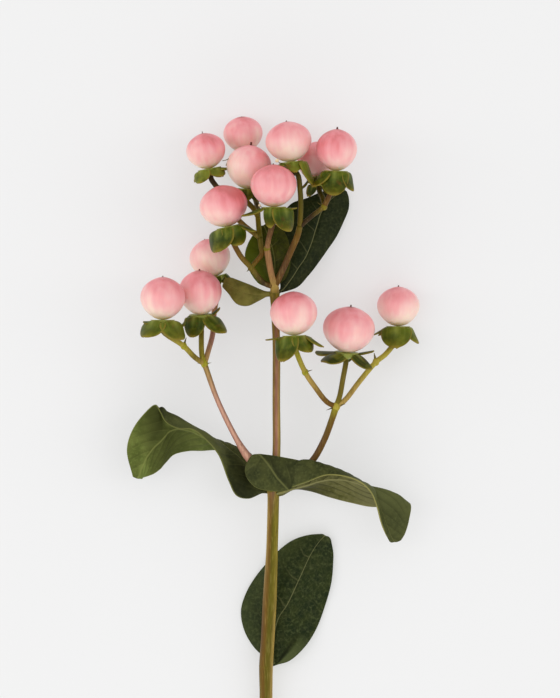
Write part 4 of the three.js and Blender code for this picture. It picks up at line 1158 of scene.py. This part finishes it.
# %% [markdown]
# ## Old stamens
# A few dried stamens stay caught between a berry and its sepals: thin threads, some with a cream
# bead at the tip. Each is a thin rod along measured points, and a small ball makes the bead.
# %% Dried stamens
THREAD_RADIUS = 0.11
THREAD_RINGS, THREAD_SIDES = 8, 8
STAMENS = {
    # berry: threads of (points, radius of the bead)
    1: [([(-15.2, 96.3, 15), (-13.9, 96.6, 16), (-12.5, 97.5, 17)], 0.0)],
    4: [([(3.2, 95.4, 20), (2, 95.5, 22), (1.1, 96.1, 24.5)], 0.55)],
    5: [([(-2.8, 82, 24), (-3.5, 82.2, 25), (-4.1, 82.7, 26)], 0.4)],
}


def add_stamen(bm, points, bead):
    """Adds a thread along the points, and a ball at its tip unless the bead's radius is nought."""
    places = ring_places([(*point, THREAD_RADIUS) for point in points], THREAD_RINGS)
    thread = [vert for ring in extrude_rings(bm, places, THREAD_SIDES) for vert in ring]
    for face in {face for vert in thread for face in vert.link_faces}:
        face.material_index = 1
    if bead:
        ball = bmesh.ops.create_icosphere(
            bm, subdivisions=3, radius=bead, matrix=Matrix.Translation(points[-1]),
        )
        for face in {face for vert in ball["verts"] for face in vert.link_faces}:
            face.material_index = 2


# %% [markdown]
# ## Sepal green
# A sepal is yellow-green at its root and deep green beyond, with a soft pale rib down its middle,
# faint veins beside it and a thin yellowish margin. Its own place, across and along, steers
# these, and a third number says how green or how yellow it is. Noise breaks the green up with
# paler and darker blotches and a few brown stains, so that no sepal looks painted.
# %% The sepals' finish
def sepal_finish():
    finish, tree, skin = new_finish("sepal green")
    place = add_node(tree, "ShaderNodeSeparateXYZ", {0: attribute(tree, "sepal_place").outputs["Vector"]})
    across, along, green = place.outputs["X"], place.outputs["Y"], place.outputs["Z"]
    colour = ramp(tree, along, [
        (0.0, chart(160, 132, 44)), (0.12, chart(152, 150, 48)), (0.34, chart(78, 92, 10)),
        (0.68, chart(46, 60, 0)), (1.0, chart(98, 90, 8)),
    ])
    colour = mix_colours(tree, remap(tree, green, 0.0, 1.0, 0.0, 0.8), colour, chart(42, 50, 6))
    colour = mix_colours(tree, remap(tree, green, 0.0, -1.0, 0.0, 0.75), colour, chart(138, 142, 48))
    where = add_node(tree, "ShaderNodeTexCoord").outputs["Object"]
    blotches = stretched_noise(tree, where, (380, 380, 380), detail=4)
    colour = mix_colours(tree, remap(tree, blotches, 0.5, 0.72, 0.0, 0.5), colour, chart(122, 126, 38))
    colour = mix_colours(tree, remap(tree, blotches, 0.47, 0.3, 0.0, 0.5), colour, chart(44, 56, 2))
    stains = stretched_noise(tree, where, (240, 240, 240), detail=3)
    colour = mix_colours(tree, remap(tree, stains, 0.6, 0.78, 0.0, 0.6), colour, chart(112, 62, 28))
    aside = calculate(tree, "ABSOLUTE", across)
    rib_fade = remap(tree, along, 0.05, 0.75, 0.9, 0.0)
    rib = calculate(tree, "MULTIPLY", remap(tree, aside, 0.0, 0.3, 1.0, 0.0), rib_fade)
    waves = calculate(tree, "COSINE", calculate(tree, "MULTIPLY", across, 11.0))
    lines = calculate(tree, "POWER", calculate(tree, "ABSOLUTE", waves), 8.0)
    fine = calculate(tree, "MULTIPLY", lines, remap(tree, along, 0.1, 0.8, 0.2, 0.0))
    colour = mix_colours(tree, calculate(tree, "MAXIMUM", rib, fine), colour, chart(156, 164, 78))
    rim = calculate(tree, "MAXIMUM", aside, along)
    colour = mix_colours(tree, remap(tree, rim, 0.9, 0.98, 0.0, 0.6), colour, chart(148, 128, 48))
    tree.links.new(colour, skin.inputs["Base Color"])
    skin.inputs["Roughness"].default_value = 0.42
    skin.inputs["Specular IOR Level"].default_value = 0.1
    skin.inputs["Subsurface Weight"].default_value = 0.1
    skin.inputs["Subsurface Scale"].default_value = 0.0006
    return finish


def anther_finish():
    finish, tree, skin = new_finish("anther")
    where = add_node(tree, "ShaderNodeTexCoord").outputs["Object"]
    grain = stretched_noise(tree, where, (2500, 2500, 2500))
    colour = mix_colours(tree, grain, chart(226, 196, 140), chart(255, 240, 204))
    tree.links.new(colour, skin.inputs["Base Color"])
    skin.inputs["Roughness"].default_value = 0.6
    return finish


sepal_green, anther = sepal_finish(), anther_finish()
thread = dried_finish("dried thread", (84, 70, 36), (138, 112, 66))
for number, berry in BERRIES.items():
    bm = bmesh.new()
    bm.verts.layers.float_vector.new("sepal_place")
    for turn, length, width, droop in berry["sepals"]:
        add_sepal(bm, berry, turn, length, width, droop)
    add_receptacle(bm, berry)
    bmesh.ops.transform(bm, matrix=berry_frame(berry), verts=bm.verts)
    for points, bead in STAMENS.get(number, []):
        add_stamen(bm, points, bead)
    finishes = [sepal_green, thread, anther]
    finished_piece(f"calyx_{number:02d}_sepals", bm, f"calyx_{number:02d}", finishes)

# %% [markdown]
# ## Floor, light and camera
# The stem lies on a plain pale floor. Its faint glow is painted light, added so that the shadows
# on it stay pale. Two long soft boxes, low on the left and the right, draw the two soft upright
# highlights on each berry, a weaker one at the cut end lights the berries' bases, and a bright
# even surround keeps the shadows faint. The camera looks straight down through a long lens, so
# near and far berries keep their true sizes.
# %% The floor
FLOOR_SIZE, FLOOR_GLOW = 4.0, 0.42
floor_mesh = bpy.data.meshes.new("floor")
bm = bmesh.new()
bmesh.ops.create_grid(bm, x_segments=1, y_segments=1, size=FLOOR_SIZE / 2)
bm.to_mesh(floor_mesh)
bm.free()
floor = bpy.data.objects.new("floor", floor_mesh)
bpy.context.scene.collection.objects.link(floor)
glowing_paper, tree, skin = new_finish("pale paper with painted glow")
where = add_node(tree, "ShaderNodeTexCoord").outputs["Object"]
grain = stretched_noise(tree, where, (6, 6, 6))
white = mix_colours(tree, grain, chart(178, 178, 178), chart(180, 180, 180))
tree.links.new(white, skin.inputs["Base Color"])
# Painted light: the floor glows though it is no lamp, so the shadows on it stay pale
skin.inputs["Emission Color"].default_value = (1, 1, 1, 1)
skin.inputs["Emission Strength"].default_value = FLOOR_GLOW
skin.inputs["Roughness"].default_value = 1.0
skin.inputs["Specular IOR Level"].default_value = 0.0
floor_mesh.materials.append(glowing_paper)
print("a floor", FLOOR_SIZE, "m wide")

# %% Light
SURROUND = 0.8
SOFT_BOXES = [
    # x, y, z, width, length, watts
    (-0.95, 0.15, 0.55, 0.35, 2.4, 4.4),
    (0.95, 0.1, 0.5, 0.35, 2.4, 2.8),
    (0.0, -0.95, 0.55, 1.6, 0.35, 2.2),
]
surround = bpy.data.worlds.new("surround")
bpy.context.scene.world = surround
surround.use_nodes = True
surround.node_tree.nodes["Background"].inputs["Color"].default_value = (1, 1, 1, 1)
surround.node_tree.nodes["Background"].inputs["Strength"].default_value = SURROUND
AIM = Vector((0, 0.04, 0))
for k, (x, y, z, width, length, watts) in enumerate(SOFT_BOXES):
    lamp = bpy.data.lights.new(f"soft box {k + 1}", "AREA")
    lamp.shape = "RECTANGLE"
    lamp.size, lamp.size_y, lamp.energy = width, length, watts
    box = bpy.data.objects.new(lamp.name, lamp)
    bpy.context.scene.collection.objects.link(box)
    box.location = (x, y, z)
    box.rotation_euler = (AIM - box.location).to_track_quat("-Z", "Y").to_euler()
print(len(SOFT_BOXES), "soft boxes and an even surround")

# %% Camera
LENS = 400.0
SENSOR = 36.0
CAMERA_REACH = 20.0
VIEW_HEIGHT = 0.2094
VIEW_CENTRE = Vector((0.002, 0.0399, 0.012))
camera_data = bpy.data.cameras.new("camera")
camera_data.lens, camera_data.sensor_width = LENS, SENSOR
camera_data.clip_end = CAMERA_REACH
camera = bpy.data.objects.new("camera", camera_data)
bpy.context.scene.collection.objects.link(camera)
camera.location = VIEW_CENTRE + Vector((0, 0, VIEW_HEIGHT * LENS / SENSOR))
bpy.context.scene.camera = camera
bpy.context.scene.view_settings.view_transform = "Standard"
print("the camera looks down from", round(camera.location.z, 2), "m")
